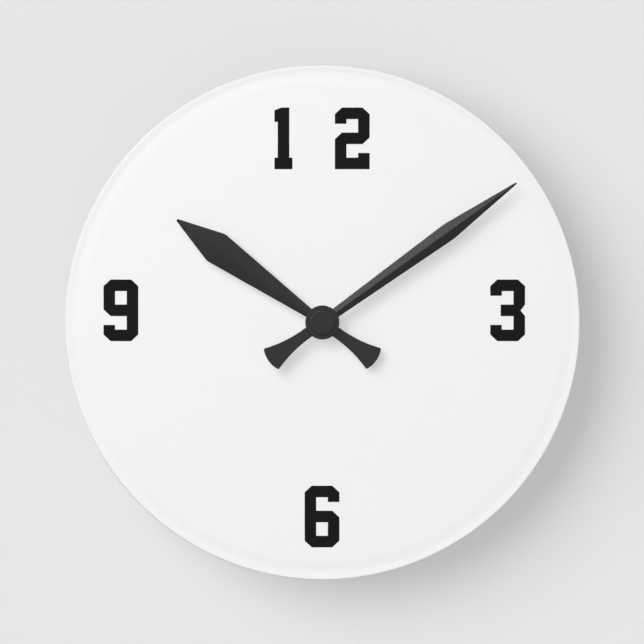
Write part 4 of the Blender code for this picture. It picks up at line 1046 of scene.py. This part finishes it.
def painted_wall():
    """Matt paint that is clear from behind, so that the clock's back can be seen."""
    s = Surface("painted_wall", roughness=1.0, specular=0.0)
    shade = tuple(c * 0.995 for c in WALL_COLOUR)
    s.colour(s.ramp(s.noise(0.4, 2.0), [(0.3, shade), (0.7, WALL_COLOUR)]))
    geometry = s.node("ShaderNodeNewGeometry")
    clear = s.node("ShaderNodeBsdfTransparent")
    one_sided = s.node("ShaderNodeMixShader")
    s.link(geometry.outputs["Backfacing"], one_sided.inputs["Fac"])
    s.link(s.shader.outputs["BSDF"], one_sided.inputs[1])
    s.link(clear.outputs["BSDF"], one_sided.inputs[2])
    s.link(one_sided.outputs["Shader"], s.tree.nodes["Material Output"].inputs["Surface"])
    return s


def make_wall():
    """The wall stands just behind the clock and doesn't shade the lights at the back."""
    back = CAD_BOX[1].y + WALL_GAP
    corners = [(-WALL_HALF_WIDTH, back, FLOOR_HEIGHT), (WALL_HALF_WIDTH, back, FLOOR_HEIGHT),
               (WALL_HALF_WIDTH, back, WALL_TOP), (-WALL_HALF_WIDTH, back, WALL_TOP)]
    wall = panel("wall", corners, painted_wall().material)
    wall.visible_shadow = False


def make_floor():
    s = Surface("pale_floor", roughness=0.8, specular=0.1)
    shade = tuple(c * 0.97 for c in FLOOR_COLOUR)
    s.colour(s.ramp(s.noise(0.5, 3.0), [(0.3, shade), (0.7, FLOOR_COLOUR)]))
    corners = [(-FLOOR_REACH, -FLOOR_REACH, FLOOR_HEIGHT), (FLOOR_REACH, -FLOOR_REACH, FLOOR_HEIGHT),
               (FLOOR_REACH, FLOOR_REACH, FLOOR_HEIGHT), (-FLOOR_REACH, FLOOR_REACH, FLOOR_HEIGHT)]
    panel("floor", corners, s.material)


# --- lights -------------------------------------------------------------------------------
def add_light(name, kind, direction, receivers, distance=3.0, bounces=0, shadow=True, glossy=True,
              **values):
    """A light that shines from a direction towards the origin, on its receivers only."""
    light = bpy.data.lights.new(name, kind)
    for key, value in values.items():
        setattr(light, key, value)
    light.use_shadow = shadow
    light.cycles.max_bounces = bounces
    obj = bpy.data.objects.new(name, light)
    bpy.context.scene.collection.objects.link(obj)
    obj.location = Vector(direction).normalized() * distance
    obj.rotation_euler = (-obj.location).to_track_quat("-Z", "Y").to_euler()
    obj.visible_glossy = glossy
    obj.visible_camera = False
    obj.light_linking.receiver_collection = receivers
    return obj


def from_wall(off_axis, azimuth):
    """A direction out from the wall, so many degrees off the dial's axis."""
    off = math.radians(off_axis)
    sideways = polar(math.sin(off), azimuth)
    return (sideways.x, -math.cos(off), sideways.y)


def light_groups():
    """Two collections, for lights that reach only the room or only the clock."""
    room = bpy.data.collections.new("room")
    clock = bpy.data.collections.new("clock_pieces")
    for obj in bpy.data.objects:
        if obj.type == "MESH":
            group = room if obj.name in ("wall", "floor") else clock
            group.objects.link(obj)
    return room, clock


def make_lights():
    """The wall and the clock each have a soft key and a fill along the view.

    The others light the clock's side and back, and the floor.
    """
    room, clock = light_groups()
    ahead = from_wall(0.0, 0.0)
    narrow = math.radians(FILL_ANGLE)
    add_light("wall_key", "SUN", from_wall(WALL_KEY_OFF_AXIS, WALL_KEY_AZIMUTH), room, bounces=1,
              energy=WALL_KEY_STRENGTH, angle=math.radians(2 * WALL_KEY_HALF_ANGLE))
    add_light("wall_fill", "SUN", ahead, room, shadow=False, glossy=False,
              energy=WALL_FILL_STRENGTH)
    add_light("key", "SUN", from_wall(KEY_OFF_AXIS, KEY_AZIMUTH), clock,
              energy=KEY_STRENGTH, angle=math.radians(2 * KEY_HALF_ANGLE))
    add_light("fill", "SUN", ahead, clock, glossy=False, energy=FILL_STRENGTH, angle=narrow)
    add_light("glow", "AREA", from_wall(GLOW_OFF_AXIS, GLOW_AZIMUTH), clock, GLOW_DISTANCE,
              glossy=False, shape="DISK", size=GLOW_SIZE, energy=GLOW_POWER)
    add_light("side", "SUN", SIDE_DIRECTION, clock, shadow=False, glossy=False,
              energy=SIDE_STRENGTH)
    add_light("rear", "SUN", REAR_DIRECTION, clock, energy=REAR_STRENGTH,
              angle=math.radians(REAR_ANGLE))
    add_light("rear_fill", "SUN", REAR_FILL_DIRECTION, clock, shadow=False, glossy=False,
              energy=REAR_FILL_STRENGTH)
    add_light("overhead", "SUN", (0.0, 0.0, 1.0), room, glossy=False,
              energy=OVERHEAD_STRENGTH, angle=narrow)


def make_world():
    """An even background that the camera and gloss see, and that gives no diffuse light."""
    world = bpy.data.worlds.new("studio")
    bpy.context.scene.world = world
    world.use_nodes = True
    world.node_tree.nodes["Background"].inputs["Color"].default_value = (BACKGROUND,) * 3 + (1.0,)
    world.cycles_visibility.diffuse = False


def make_camera():
    data = bpy.data.cameras.new("camera")
    data.sensor_width = SENSOR
    data.lens = SENSOR * CAMERA_DISTANCE / PICTURE_WIDTH
    camera = bpy.data.objects.new("camera", data)
    bpy.context.scene.collection.objects.link(camera)
    face = -laid_box("dial")[1].z
    camera.location = (CAMERA_SIDEWAYS, face - CAMERA_DISTANCE, CAMERA_RISE)
    camera.rotation_euler = (math.radians(90.0), 0.0, 0.0)
    bpy.context.scene.camera = camera


bpy.context.scene.view_settings.view_transform = "Standard"
make_camera()
materials = make_materials()
make_dial(materials["dial_acrylic"])
make_hand("hour_hand_blade", "hour_hand", materials["hand_plastic"], "hour", HOUR_SHAPE)
make_hand("minute_hand_blade", "minute_hand", materials["hand_plastic"], "minute", MINUTE_SHAPE)
make_hub_cap(materials["hand_plastic"])
make_nut(materials["brass"])
make_ring("washer_stamped", "dial_washer", materials["brass"], WASHER_SOFT)
make_bushing(materials["brass"])
make_ring("gasket_soft", "rubber_gasket", materials["rubber"], GASKET_SOFT)
make_case(materials)
make_battery_can(materials["steel"])
make_battery_nub(materials["steel"])
make_battery_jacket(materials["battery_sleeve"])
make_contacts(materials["spring_steel"])
dress_frame(materials)
make_wall()
make_floor()
make_lights()
make_world()
